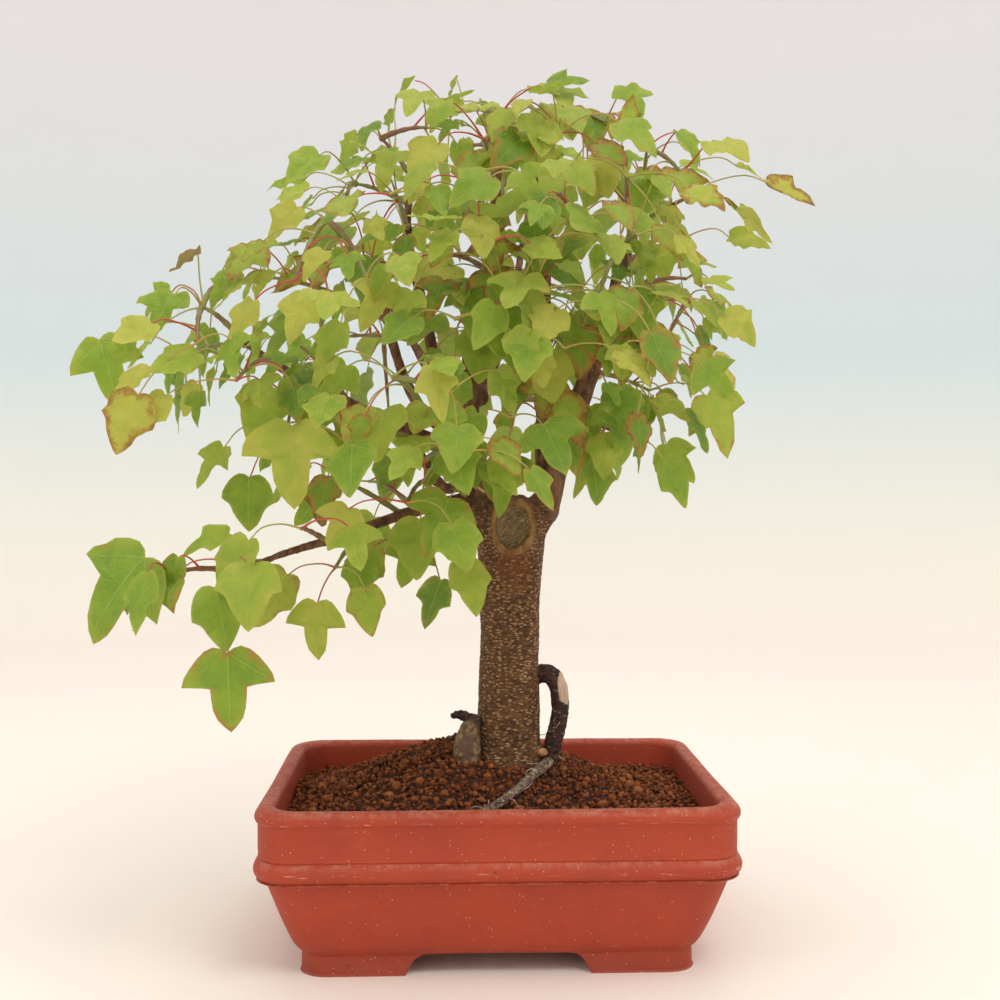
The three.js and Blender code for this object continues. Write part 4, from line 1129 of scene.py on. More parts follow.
def lay_grains(name, templates, spots, rng):
    """One mesh of turned and sized copies of the templates, with a tone for each grain."""
    corners, faces, tones = [], [], []
    count = 0
    for x, y, z, radius in spots:
        shape, sides = templates[rng.randrange(len(templates))]
        turn = np.array(Matrix.Rotation(rng.uniform(0, 6.28), 3, Vector(
            (rng.uniform(-1, 1), rng.uniform(-1, 1), rng.uniform(-1, 1) + 0.01)).normalized()))
        corners.append(shape @ turn.T * radius * MM + np.array(at(x, y, z)))
        faces.append(sides + count)
        tones.append(np.full(len(shape), rng.random() ** 1.2))
        count += len(shape)
    mesh = bpy.data.meshes.new(name)
    mesh.from_pydata(np.concatenate(corners).tolist(), [], np.concatenate(faces).tolist())
    piece = bpy.data.objects.new(name, mesh)
    bpy.context.collection.objects.link(piece)
    layer = mesh.attributes.new("tone", "FLOAT", "POINT")
    layer.data.foreach_set("value", np.concatenate(tones))
    return piece


def inside_pot(x, y, margin):
    """True if a place is inside the rounded rectangle of the inner wall, less a margin."""
    half_x, half_y = POT_LENGTH / 2 - 8 - margin, POT_WIDTH / 2 - 8 - margin
    corner = CORNER_RADIUS - 4
    over_x, over_y = abs(x) - (half_x - corner), abs(y) - (half_y - corner)
    if over_x > 0 and over_y > 0:
        return math.hypot(over_x, over_y) < corner
    return abs(x) < half_x and abs(y) < half_y


def scatter_spots(rng, tries, sizes, spacing, lift):
    """Spots on the mound for round grains of these sizes, no closer than spacing allows."""
    spots, cells = [], {}
    reach = 3
    for _ in range(tries):
        x = rng.uniform(-POT_LENGTH / 2, POT_LENGTH / 2)
        y = rng.uniform(-POT_WIDTH / 2, POT_WIDTH / 2)
        radius = mix(*sizes, rng.random() ** 1.8)
        if not inside_pot(x, y, radius * 0.8):
            continue
        if math.hypot(x - TRUNK_X, y) < TRUNK_RADIUS * 0.9:
            continue
        cell = (int(x // reach), int(y // reach))
        near = [spot for i in range(-2, 3) for j in range(-2, 3)
                for spot in cells.get((cell[0] + i, cell[1] + j), ())]
        if any(math.hypot(x - s[0], y - s[1]) < spacing * (radius + s[3]) for s in near):
            continue
        sunk = soil_height(x, y) + lift * radius + rng.uniform(-1.2, 0.5)
        spot = (x, y, sunk, radius)
        cells.setdefault(cell, []).append(spot)
        spots.append(spot)
    return spots


def make_grains():
    """Loose baked clay grains in three sizes; the small ones fill between the large ones."""
    templates = [grain_template(seed) for seed in range(8)]
    finish = grain_finish()
    layers = [
        ("coarse_grains", 9000, (1.7, 3.3), 0.78, -0.55),
        ("middle_grains", 12000, (1.2, 2.0), 0.80, -1.5),
        ("fine_grains", 9000, (0.6, 1.2), 1.0, 0.3),
    ]
    for number, (name, tries, sizes, spacing, lift) in enumerate(layers):
        rng = random.Random(40 + number)
        spots = scatter_spots(rng, tries, sizes, spacing, lift)
        piece = lay_grains(name, templates, spots, rng)
        finish_piece(piece, "soil", ["soil"], finish)


# ---- Wood ------------------------------------------------------------------------------------
def trunk_column():
    """The trunk's column, from its root crown to the swollen head, raised row by row."""
    rows = [(0, 1.25), (0.1, 1.18), (0.2, 1.04), (0.32, 0.98), (0.42, 0.96), (0.5, 0.95), (0.6, 0.95),
            (0.68, 0.97), (0.74, 1.0), (0.8, 1.04), (0.85, 1.09), (0.9, 1.10), (0.95, 1.0),
            (1, 0.72), (1.03, 0.4)]
    low, high = SOIL_AT_TRUNK - 18, FORK.z + 22
    bpy.ops.object.select_all(action="DESELECT")
    radius = TRUNK_RADIUS * rows[0][1] * MM
    bpy.ops.mesh.primitive_circle_add(
        vertices=40, radius=radius, fill_type="NGON", location=at(TRUNK_X, 0, low),
    )
    piece = start_piece("trunk_column")
    apply_place(piece)
    start_edit(piece, "FACE")
    bpy.ops.mesh.select_all(action="SELECT")
    raise_rows([
        (TRUNK_RADIUS * swell, TRUNK_RADIUS * swell, TRUNK_X + TRUNK_LEAN * share, mix(low, high, share))
        for share, swell in rows
    ])
    bpy.ops.mesh.select_all(action="SELECT")
    bpy.ops.mesh.normals_make_consistent(inside=False)
    end_edit()
    return piece


def ball(name, centre, radii):
    bpy.ops.object.select_all(action="DESELECT")
    bpy.ops.mesh.primitive_uv_sphere_add(segments=28, ring_count=16, radius=1, location=at(*centre))
    piece = start_piece(name)
    piece.scale = Vector(radii) * MM
    apply_place(piece)
    return piece


def callus_roll():
    """The roll of callus round the old cut: two lips that meet low, the right one thicker."""
    bpy.ops.object.select_all(action="DESELECT")
    bpy.ops.mesh.primitive_torus_add(
        major_segments=48, minor_segments=14, major_radius=1, minor_radius=0.26, location=at(*SCAR),
        rotation=(math.pi / 2 - 0.12, 0, 0),
    )
    piece = start_piece("callus")
    apply_place(piece)
    middle = at(*SCAR)

    def drawn(place, normal):
        offset = place - middle
        x, y, z = offset.x * 9 * MM, offset.y * 8 * MM, offset.z * 11 * MM
        thick = 1 + 0.16 * ease(x / MM, 0, 9) + 0.10 * noise.noise(offset * 3)
        return middle + Vector((x * thick, y, z * (1 + 0.05 * ease(-z / MM, 4, 11))))

    move_points(piece, drawn)
    return piece


def limb_run(name, steps=6):
    radii, points = LIMBS[name]
    points = [Vector(point) + FORK for point in points]
    run = smooth_run(points, radii, steps)
    return [(place, radius * (1 + 0.10 * noise.noise(place * 0.12))) for place, radius in run]


def knots():
    """Swollen joints where limbs and shoots leave their parent."""
    made = []
    for name in LIMBS:
        radii, points = LIMBS[name]
        start = Vector(points[0]) + FORK
        made.append(ball("knot", start, [radii[0] * 1.15] * 3))
    for limb, share, *_ in SHOOTS:
        radii, points = LIMBS[limb]
        place = catmull([Vector(point) + FORK for point in points], share)
        radius = value_along(radii, share)
        made.append(ball("knot", place, [radius * 1.25, radius * 1.25, radius * 1.05]))
    return made


def make_wood():
    """Trunk, head, old cut and limbs as one skin, as they grew."""
    limbs = tubes("limbs", [limb_run(name) for name in LIMBS], 3)
    head = [
        ball("head", FORK + Vector((0, 1, 13)), (16.5, 14.2, 13)),
        ball("right_knuckle", KNUCKLE, (7.4, 7, 8.5)),
        ball("right_burl", FORK + Vector((13, -7, 14)), (4.2, 4.2, 7)),
        ball("left_shoulder", FORK + Vector((-9, -1, 12)), (8, 9, 12)),
    ]
    piece = join_pieces("tree_wood", [trunk_column(), callus_roll(), limbs, *head, *knots()])
    apply_modifier(piece, "REMESH", mode="VOXEL", voxel_size=WOOD_VOXEL * MM)
    cut_away(piece, ball("hollow", SCAR + Vector((0, -2.6, 0)), (7.6, 3.6, 9.6)))
    apply_modifier(piece, "REMESH", mode="VOXEL", voxel_size=WOOD_VOXEL * MM)
    apply_modifier(piece, "SMOOTH", factor=0.5, iterations=3)
    paint_wood(piece)
    roughen_wood(piece)
    return finish_piece(piece, "bark", ["trunk"], bark_finish())


def in_pot_mm(place):
    """A place in the frame's metres as millimetres from the centre of the pot's base."""
    return (place - POT_CENTRE) / MM


def scar_reach(place):
    """How far out from the middle of the old cut a place is: 1 at the edge of the bare wood."""
    offset = in_pot_mm(place) - SCAR
    if offset.y > 9:
        return 9
    return math.hypot(offset.x / SCAR_HALF.x, offset.z / SCAR_HALF.z)


def paint_wood(piece):
    """Marks the young bark, the bare cut, its callus and the rusty patch below it."""
    def young(vertex):
        place = in_pot_mm(vertex.co)
        off_axis = math.hypot(place.x - FORK.x, place.y)
        return max(ease(place.z, FORK.z + 6, FORK.z + 30), ease(off_axis, 17, 22) * ease(place.z, 120, 150))

    def callus(vertex):
        reach = scar_reach(vertex.co) + 0.10 * noise.noise(vertex.co * 400)
        place = in_pot_mm(vertex.co) - SCAR
        open_top = 1 - ease(place.z, 7, 14) * (1 - ease(place.x, -2, 5))
        ring = ease(reach, 0.98, 1.06) * (1 - ease(reach, 1.30, 1.42))
        return ring * open_top * (1 - ease(place.z, 12, 16))

    def rust(vertex):
        place = in_pot_mm(vertex.co) - SCAR
        below = ease(-place.z, 9, 14) * ease(place.z, -32, -18)
        return below * (1 - ease(abs(place.x - 1), 4, 10)) * (place.y < 4)

    paint(piece, "young", young)
    paint(piece, "cut", lambda vertex: 1 - ease(scar_reach(vertex.co), 0.92, 1.02))
    paint(piece, "callus", callus)
    paint(piece, "rust", rust)


def roughen_wood(piece):
    """Horizontal wrinkles on the trunk, long ridges on the limbs, cracks in the old cut."""
    def moved(place, normal):
        spot = in_pot_mm(place)
        reach = scar_reach(place)
        on_trunk = 1 - ease(spot.z, FORK.z + 4, FORK.z + 26)
        wrinkle = noise.noise(Vector((spot.x * 0.28, spot.y * 0.28, spot.z * 0.95)))
        swelling = noise.noise(spot * 0.085)
        depth = on_trunk * (0.26 * wrinkle + 0.55 * swelling)
        depth += (1 - on_trunk) * 0.12 * noise.noise(Vector((spot.x, spot.y, spot.z * 0.4)) * 0.7)
        if reach < 1.02:
            turned = Vector((spot.x * 0.75 + spot.z * 0.6, 0, spot.z * 0.75 - spot.x * 0.6))
            fibre = noise.noise(Vector((turned.x * 0.25, 0, turned.z * 1.1)))
            crack = 1 - ease(abs(noise.noise(turned * 0.22 + Vector((4, 0, 0)))), 0.0, 0.07)
            depth = 0.45 * fibre - 0.8 * crack
        return place + normal * depth * MM
    move_points(piece, moved)


def arched_route():
    """The arched root's line, from the trunk's side over and down into the soil."""
    side = TRUNK_X + TRUNK_RADIUS
    ground = SOIL_AT_TRUNK
    return [
        (side - 6, 3, ground + 34), (side + 3, 0, ground + 38), (side + 8.5, -3, ground + 33),
        (side + 9.5, -4, ground + 21), (side + 7, -4, ground + 9), (side + 4, -3, ground - 3),
        (side - 4, -2, ground - 10),
    ]


def surface_route():
    """The thin root's line along the top of the soil."""
    side = TRUNK_X + TRUNK_RADIUS
    bed = [(side + 5, -4, -2), (side - 1, -18, 1.2), (side - 10, -30, 1.2), (side - 21, -41, 1.2),
           (side - 34, -50, 0.6), (side - 39, -54, -3)]
    return [(x, y, soil_height(x, y) + lift) for x, y, lift in bed]


def roughened_rod(name, run, voxel, depth, scale):
    """A rod with a lumpy skin of even small faces."""
    piece = tubes(name, [run], 4)
    apply_modifier(piece, "REMESH", mode="VOXEL", voxel_size=voxel * MM)
    apply_modifier(piece, "SMOOTH", factor=0.5, iterations=2)

    def moved(place, normal):
        spot = in_pot_mm(place)
        bumps = noise.noise(spot * scale) + 0.5 * noise.noise(spot * scale * 2.7)
        return place + normal * depth * bumps * MM
    move_points(piece, moved)
    return piece


def make_arched_root():
    radii = [3.9, 4.4, 4.3, 4.0, 4.1, 4.6, 4.4]
    piece = roughened_rod("arched_root", smooth_run(arched_route(), radii, 6), 0.5, 0.38, 0.45)
    shoulder = Vector(arched_route()[2]) + Vector((2.6, -1.5, -1))

    def peeled(vertex):
        offset = in_pot_mm(vertex.co) - shoulder
        return 1 - ease(Vector((offset.x / 3.6, offset.y / 6, offset.z / 9.5)).length, 0.5, 1.3)

    paint(piece, "peeled", peeled)
    low, high = SOIL_AT_TRUNK + 16, SOIL_AT_TRUNK + 30
    paint(piece, "scaly", lambda vertex: 1 - 0.6 * ease(in_pot_mm(vertex.co).z, low, high))
    return finish_piece(piece, "bark", ["trunk"], root_finish())


def make_surface_root():
    radii = [2.8, 2.4, 2.1, 1.8, 1.4, 1.0]
    run = [(place + Vector((0, 0, 0.7)), radius) for place, radius in smooth_run(surface_route(), radii, 8)]
    piece = roughened_rod("surface_root", run, 0.4, 0.34, 0.7)
    return finish_piece(piece, "bark", ["trunk"], weathered_root_finish())


def make_root_knob():
    """The old root stub beside the trunk: a flat sawn oval with a rim of bark."""
    left = TRUNK_X - TRUNK_RADIUS
    ground = SOIL_AT_TRUNK
    run = smooth_run(
        [(left + 2, -5, ground - 12), (left - 4, -9, ground - 1), (left - 4.4, -9.5, ground + 7),
         (left - 2.6, -8, ground + 15), (left + 0.5, -6, ground + 19)],
        [5.5, 6.6, 6.4, 4.6, 2.6], 6)
    piece = roughened_rod("root_knob", run, 0.45, 0.34, 0.5)
    paint(piece, "peeled", lambda vertex: 0.0)
    paint(piece, "scaly", lambda vertex: 1.0)
    return finish_piece(piece, "bark", ["trunk"], knob_finish())


def knob_finish():
    """The knob's bark: brown in the middle, yellow-grey towards its rim and foot."""
    material, nodes, surface = new_material("root_knob_bark")
    place = nodes.object_place()
    middle = at(TRUNK_X - TRUNK_RADIUS - 4.5, -15, SOIL_AT_TRUNK + 7)
    offset = nodes.add("ShaderNodeVectorMath", {0: place, 1: middle}, operation="SUBTRACT").outputs[0]
    reach = nodes.add(
        "ShaderNodeVectorMath", {0: nodes.stretch(offset, (270, 60, 145))}, operation="LENGTH",
    ).outputs["Value"]
    field = nodes.noise(place, 380.0, 6, 0.7)
    reach = nodes.math("ADD", reach, nodes.math("MULTIPLY_ADD", field, 0.8, -0.4))
    rim = nodes.blend(nodes.between(field, 0.4, 0.62), (0.10, 0.060, 0.028, 1), (0.38, 0.23, 0.11, 1))
    centre = nodes.blend(field, (0.085, 0.042, 0.028, 1), (0.22, 0.125, 0.085, 1))
    colour = nodes.blend(nodes.between(reach, 0.75, 1.0), centre, rim)
    dark = nodes.between(reach, 1.45, 1.9)
    colour = nodes.blend(nodes.math("MULTIPLY", dark, 0.85), colour, (0.05, 0.026, 0.015, 1))
    nodes.set(surface.inputs["Base Color"], colour)
    surface.inputs["Roughness"].default_value = 0.8
    nodes.set(surface.inputs["Normal"], nodes.bump(field, 0.9, 0.6))
    return material


def make_broken_stub():
    """Dark torn bark and wood that stands out over the knob."""
    left = TRUNK_X - TRUNK_RADIUS
    ground = SOIL_AT_TRUNK
    chips = [
        [((left - 2, -6, ground + 17), 3.0), ((left - 6, -8, ground + 20), 2.4),
         ((left - 10, -9, ground + 21), 1.6), ((left - 11.5, -9, ground + 19.5), 0.8)],
        [((left - 6, -6, ground + 9), 2.4), ((left - 9.5, -8, ground + 11), 1.7),
         ((left - 12, -9, ground + 9), 0.9)],
    ]
    piece = tubes("broken_stub", [[(Vector(place), radius) for place, radius in chip] for chip in chips], 2)
    apply_modifier(piece, "REMESH", mode="VOXEL", voxel_size=0.5 * MM)

    def torn(place, normal):
        spot = in_pot_mm(place)
        return place + normal * (0.9 * noise.noise(spot * 0.6) + 0.4 * noise.noise(spot * 1.7)) * MM
    move_points(piece, torn)
    paint(piece, "peeled", lambda vertex: 0.0)
    paint(piece, "scaly", lambda vertex: 0.25)
    return finish_piece(piece, "bark", ["trunk"], bpy.data.materials["old_root_bark"])


def make_rootlets():
    """Fine hair roots along the surface root and the foot of the arch."""
    rng = random.Random(7)
    surface = surface_route()
    runs = []
    for number in range(26):
        share = rng.uniform(0.05, 0.95)
        start = catmull([Vector(point) for point in surface], share)
        if number % 4 == 0:
            start = catmull([Vector(point) for point in arched_route()], rng.uniform(0.5, 0.82))
        heading = Vector((rng.uniform(-1, 1), rng.uniform(-1.2, 0.2), rng.uniform(-0.1, 0.7))).normalized()
        runs.append(rootlet(rng, start + heading * 1.5, heading, rng.uniform(5, 13)))
    piece = tubes("root_hairs", runs, 0)
    return finish_piece(piece, "bark", ["trunk"], root_hair_finish())


def rootlet(rng, start, heading, length):
    """One wandering hair root that sinks towards the grains."""
    run, place = [], start.copy()
    steps = 9
    for step in range(steps + 1):
        run.append((place.copy(), mix(0.26, 0.10, step / steps)))
        heading = heading + Vector((rng.uniform(-1, 1), rng.uniform(-1, 1), rng.uniform(-1, 0.55))) * 0.34
        heading.normalize()
        place = place + heading * length / steps
        floor = soil_height(place.x, place.y) + 0.8
        place.z = max(place.z, floor)
    return run


def make_pebble():
    side = TRUNK_X + TRUNK_RADIUS
    bpy.ops.object.select_all(action="DESELECT")
    place = at(side + 1.2, -8, SOIL_AT_TRUNK + 3.2)
    bpy.ops.mesh.primitive_ico_sphere_add(subdivisions=3, radius=1, location=place)
    piece = start_piece("pebble")
    piece.scale = Vector((2.4, 2.0, 1.9)) * MM
    apply_place(piece)
    move_points(piece, lambda place, normal: place + normal * 0.25 * noise.noise(place * 500) * MM)
    return finish_piece(piece, "soil", ["soil"], pebble_finish())


# ---- Leaf templates --------------------------------------------------------------------------
def outline_at(outline, share):
    """The place on a leaf's edge at a share of the way round, from the base and back to it."""
    ring = [Vector((0, 0))] + [Vector(point) for point in outline] + [Vector((0, 1))]
    ring += [Vector((-u, v)) for u, v in reversed(outline)]
    place = share * len(ring)
    index = int(place) % len(ring)
    return ring[index].lerp(ring[(index + 1) % len(ring)], place - int(place))


def leaf_template(name, outline):
    """A flat leaf one unit long: a disc inset and poked, then drawn out to the outline."""
    count = 2 * len(outline) + 2
    bpy.ops.object.select_all(action="DESELECT")
    bpy.ops.mesh.primitive_circle_add(
        vertices=count, radius=1, fill_type="NGON", location=(0, 0, 0), rotation=(0, 0, 0),
    )
    piece = start_piece(name)
    start_edit(piece, "FACE")
    bpy.ops.mesh.select_all(action="SELECT")
    bpy.ops.mesh.inset(thickness=0.30)
    bpy.ops.mesh.inset(thickness=0.35)
    bpy.ops.mesh.poke()
    end_edit()
    heart = Vector((0, 0.36))
    corners, edges = [], []
    for vertex in piece.data.vertices:
        reach = vertex.co.xy.length
        turn = (math.atan2(vertex.co.x, -vertex.co.y) / (2 * math.pi)) % 1
        rim = outline_at(outline, turn)
        share = {0: 0, 1: 0.36, 2: 0.70, 3: 1}[round(reach * 3)] if reach < 0.99 else 1
        spot = heart.lerp(rim, share)
        corners.append((spot.x, spot.y))
        edges.append(share)
    faces = [tuple(polygon.vertices) for polygon in piece.data.polygons]
    if piece.data.polygons[0].normal.z < 0:
        faces = [face[::-1] for face in faces]
    bpy.data.objects.remove(piece)
    return corners, edges, faces


def blade_shape(corners, length, rng):
    """The corners of one blade, folded, drooped, curled and rippled, before it is placed."""
    fold = rng.uniform(0.05, 0.45)
    droop = rng.uniform(-0.05, 0.40)
    curl = rng.uniform(-0.15, 0.55)
    twist = rng.uniform(-0.35, 0.35)
    skew = rng.uniform(-0.10, 0.10)
    wide = rng.uniform(0.74, 1.02)
    lobe_droop = rng.uniform(0.0, 0.35)
    seed = Vector((rng.uniform(0, 50), rng.uniform(0, 50), 0))
    ripple = rng.uniform(0.04, 0.13)
    spots = []
    for u, v in corners:
        u = u * wide + skew * v * v
        bulge = noise.noise(Vector((u * 4, v * 4, 0)) + seed)
        edge = noise.noise(Vector((u * 8, v * 8, 3)) + seed) * abs(u)
        height = fold * abs(u) * 0.6 - lobe_droop * u * u - curl * v ** 3 * 0.45 - droop * v * v * 0.4
        height += ripple * bulge + 0.16 * edge + twist * u * v * 0.6
        spots.append(Vector((u, v - 0.10 * curl * v ** 3, height)) * length)
    return spots


# ---- Growth of the shoots --------------------------------------------------------------------
def stream(seed):
    """A repeatable stream of numbers from 0 to 1."""
    state = seed
    while True:
        state = (state * 16807) % 2147483647
        yield state / 2147483647


def bezier(stem, share):
    start, bend, tip = stem
    return start * (1 - share) ** 2 + bend * 2 * share * (1 - share) + tip * share ** 2


def bezier_heading(stem, share):
    start, bend, tip = stem
    return ((bend - start) * (1 - share) + (tip - bend) * share).normalized()


def hang(node, base, petiole, draw):
    """How a blade hangs from the end of its petiole: it droops and turns to the light."""
    outward = (base - CROWN_CENTRE).normalized()
    axis = (petiole * 0.45 + outward * 0.35 - UP * mix(0.4, 1.2, next(draw))).normalized()
    jitter = Vector((mix(-1, 1, next(draw)), mix(-1, 1, next(draw)), mix(-1, 1, next(draw))))
    normal = outward * 0.5 + LIGHT * 0.7 + jitter * 0.4
    normal = (normal - axis * normal.dot(axis)).normalized()
    return {"node": node, "base": base, "axis": axis, "normal": normal}


def node_shares(length):
    """The shares of a stem at which leaves stand, from its tip down."""
    shares, share = [], 1.0
    while share > BARE_SHARE:
        shares.append(share)
        share -= INTERNODE / length
    return shares


def stem_leaves(stem, shares, draw):
    """Opposite pairs of leaves down a stem from its tip, each pair a quarter turn on."""
    turn = next(draw) * math.pi
    leaves = []
    for pair, share in enumerate(shares):
        node, heading = bezier(stem, share), bezier_heading(stem, share)
        u = heading.cross(UP).normalized()
        v = u.cross(heading)
        for half in (0, 1):
            angle = turn + (pair / 2 + half) * math.pi + mix(-0.3, 0.3, next(draw))
            petiole = heading * 0.45 + u * 0.85 * math.cos(angle) + v * 0.85 * math.sin(angle) + UP * 0.15
            petiole.normalize()
            reach = mix(*PETIOLE_REACH, next(draw))
            base = node + petiole * reach - UP * 0.12 * reach
            young = 0.85 if pair == 0 else 1
            size = LEAF_LENGTH * young * mix(0.8, 1.2, next(draw))
            leaves.append({**hang(node, base, petiole, draw), "length": size})
    return leaves


def lone_leaf(stem, row):
    share, base, tip = row
    start = Vector(base) + FORK
    axis = Vector(tip) + FORK - start
    length = axis.length
    axis.normalize()
    normal = (LIGHT - axis * LIGHT.dot(axis)).normalized()
    return {"node": bezier(stem, share), "base": start, "axis": axis, "normal": normal, "length": length}


def grow_shoot(row, seed):
    """The stems of one shoot and the leaves they bear; later stems branch from the first."""
    limb, share, tips, *lone = row
    draw = stream(seed)
    stems, leaves = [], []
    start = catmull([Vector(point) + FORK for point in LIMBS[limb][1]], share)
    for index, tip in enumerate(tips):
        end = Vector(tip) + FORK
        length = (end - start).length
        shares = node_shares(length)
        stem = (start, (start + end) / 2 + UP * STEM_LIFT * length, end)
        stems.append(stem)
        if index == 0 and lone:
            leaves += [lone_leaf(stem, lone_row) for lone_row in lone[0]]
        leaves += stem_leaves(stem, shares, draw)
        if index == 0:
            start = bezier(stem, min(shares))
    return stems, leaves


def hides_cut(leaf):
    """True if a leaf hangs in front of the old cut at the head of the trunk."""
    middle = middle_of(leaf)
    return middle.y < -5 and abs(middle.x - FORK.x - 3) < 21 and -14 < middle.z - FORK.z < 30


def middle_of(leaf):
    return leaf["base"] + leaf["axis"] * leaf["length"] * 0.42


def allowed(leaf, box_low, box_high):
    """True if an added leaf stays in the crown and leaves the old cut and the trunk in view."""
    middle = middle_of(leaf)
    reach = leaf["length"] * 0.55
    for axis in range(3):
        if middle[axis] - reach < box_low[axis] or middle[axis] + reach > box_high[axis]:
            return False
    if middle.z < FORK.z - 4 and abs(middle.x - FORK.x) < 55:
        return False
    if middle.y < 10 and abs(middle.x - FORK.x - 4) < 24 and middle.z < FORK.z + 31:
        return False
    return middle.z > mix(FORK.z + 60, FORK.z + 31, ease(middle.x, FORK.x - 100, FORK.x - 10))


def add_leaves(shoots):
    """Fills each shoot with more leaves on its stems where there is room between the others."""
    low = (Vector(CAD_BOX[0]) - POT_CENTRE) / MM - Vector((2, 2, 0))
    high = (Vector(CAD_BOX[1]) - POT_CENTRE) / MM + Vector((2, 2, 2))
    rng = random.Random(77)
    taken = [middle_of(leaf) for _, leaves in shoots for leaf in leaves]
    for index, (stems, leaves) in enumerate(shoots):
        draw = stream(9001 + 61 * index)
        wanted = EXTRA_LEAVES
        for _ in range(60):
            if wanted == 0:
                break
            stem = stems[rng.randrange(len(stems))]
            share = rng.uniform(0.3, 1)
            leaf = rng.choice(stem_leaves(stem, [share], draw))
            leaf["length"] *= rng.uniform(0.62, 1.05)
            middle = middle_of(leaf)
            if not allowed(leaf, low, high):
                continue
            if any((middle - other).length < LEAF_SPACING for other in taken):
                continue
            taken.append(middle)
            leaves.append(leaf)
            wanted -= 1


# ---- Foliage pieces --------------------------------------------------------------------------
def petiole_run(leaf, rng):
    """A leaf stalk that leaves its node, arches and bends into the base of the blade."""
    start, end = leaf["node"], leaf["base"] + leaf["axis"] * leaf["length"] * 0.03
    length = (end - start).length
    lift = UP * length * rng.uniform(0.10, 0.22)
    side = Vector((rng.uniform(-1, 1), rng.uniform(-1, 1), 0)) * length * 0.06
    points = [
        start,
        start.lerp(end, 0.33) + lift * 0.8 + side,
        start.lerp(end, 0.72) + lift * 0.9 + side * 0.5,
        end - leaf["normal"] * 0.5,
    ]
    return smooth_run(points, [0.55, 0.36, 0.32, 0.30], 3)


def stem_run(stem, rng):
    """A shoot's stem with slightly swollen joints."""
    run = []
    steps = 12
    wander = Vector((rng.uniform(-1, 1), rng.uniform(-1, 1), rng.uniform(-1, 1)))
    for step in range(steps + 1):
        share = step / steps
        joint = 0.22 if step % 3 == 0 else 0
        place = bezier(stem, share) + wander * math.sin(share * math.pi) * 1.2
        run.append((place, mix(1.35, 0.62, share) + joint))
    return run


def leaf_settings(leaf, rng):
    """The values that colour one leaf: its tone, with painted light and shade by its place in the crown, how
    browned it is, and if it is bronze.
    """
    middle = middle_of(leaf)
    # Painted light and shade: leaves on the outside, front and top of the crown get a lighter, yellower tone,
    # and big leaves low down are kept darker, for the light they catch and the shade inside the crown; the
    # gauss term is their own random spread of tone.
    outside = ease((middle - CROWN_CENTRE).length, 40, 125)
    front = ease(-middle.y, -60, 90)
    high = ease(middle.z, FORK.z, FORK.z + 190)
    tone = 0.18 + 0.26 * outside + 0.20 * front + 0.14 * high + rng.gauss(0, 0.19)
    big = leaf["length"] > 28
    if big and middle.z < FORK.z + 30:
        tone = min(tone, 0.42)
    burn = max(0.0, rng.gauss(0.42, 0.30))
    bronze = 0.0
    for place in BRONZE_LEAVES:
        if (middle - Vector(place) - FORK).length < 13:
            bronze = 0.85
    return {"tone": min(1, max(0, tone)), "burn": min(1, burn), "chance": rng.random(), "bronze": bronze}


def blades(name, leaves, templates, rng):
    """One mesh of all the blades of a shoot, with their plans as UVs and colour attributes."""
    points, faces, plans = [], [], []
    values = {"tone": [], "burn": [], "chance": [], "bronze": [], "edge": []}
    for leaf in leaves:
        kinds = "deep" if leaf["length"] > 27 else rng.choice(("deep", "shallow", "shallow", "narrow"))
        corners, edges, sides = templates[kinds]
        spots = blade_shape(corners, leaf["length"], rng)
        across = leaf["axis"].cross(leaf["normal"])
        settings = leaf_settings(leaf, rng)
        count = len(points)
        for spot in spots:
            place = leaf["base"] + across * spot.x + leaf["axis"] * spot.y + leaf["normal"] * spot.z
            points.append(at(*place))
        faces += [tuple(corner + count for corner in side) for side in sides]
        plans += corners
        values["edge"] += edges
        for key, value in settings.items():
            values[key] += [value] * len(corners)
    mesh = bpy.data.meshes.new(name)
    mesh.from_pydata([tuple(point) for point in points], [], faces)
    piece = bpy.data.objects.new(name, mesh)
    bpy.context.collection.objects.link(piece)
    for key, numbers in values.items():
        layer = mesh.attributes.new(key, "FLOAT", "POINT")
        layer.data.foreach_set("value", numbers)
    plan = mesh.uv_layers.new(name="plan")
    spread = []
    for loop in mesh.loops:
        u, v = plans[loop.vertex_index]
        spread += [0.5 + u / PLAN_SCALE[0], (v + PLAN_FOOT) / PLAN_SCALE[1]]
    plan.data.foreach_set("uv", spread)
    return piece


def make_foliage():
    """One piece for each shoot: its blades, petioles and stems."""
    templates = {kind: leaf_template(kind, outline) for kind, outline in OUTLINES.items()}
    finishes = [
        leaf_finish(),
        stem_finish("green_shoot", (0.24, 0.25, 0.055, 1), (0.25, 0.10, 0.045, 1), 0.52),
        stem_finish("green_petiole", (0.42, 0.40, 0.085, 1), (0.52, 0.34, 0.075, 1), 0.55),
        stem_finish("red_petiole", (0.52, 0.20, 0.085, 1), (0.55, 0.055, 0.045, 1), 0.42),
    ]
    shoots = [grow_shoot(row, 1013 + 37 * index) for index, row in enumerate(SHOOTS)]
    add_leaves(shoots)
    for index, (stems, leaves) in enumerate(shoots):
        leaves = [leaf for leaf in leaves if not hides_cut(leaf)]
        rng = random.Random(500 + index)
        for leaf in leaves:
            if middle_of(leaf).z > FORK.z + 62:
                leaf["length"] *= 0.86
        number = f"{index + 1:02d}"
        leafy = blades(f"blades_{number}", leaves, templates, rng)
        for finish in finishes:
            leafy.data.materials.append(finish)
        parts = [leafy]
        red_chance = 0.75 if SHOOTS[index][0] == "low_left" else 0.22
        kinds = [2 + (rng.random() < red_chance) for _ in leaves]
        parts += stalks(f"stems_{number}", [stem_run(stem, rng) for stem in stems], 2, finishes, 1)
        for kind in (2, 3):
            runs = [petiole_run(leaf, rng) for leaf, own in zip(leaves, kinds) if own == kind]
            if runs:
                parts += stalks(f"petioles_{kind}_{number}", runs, 1, finishes, kind)
        piece = join_pieces(f"foliage_{number}", parts)
        finish_foliage(piece, number)


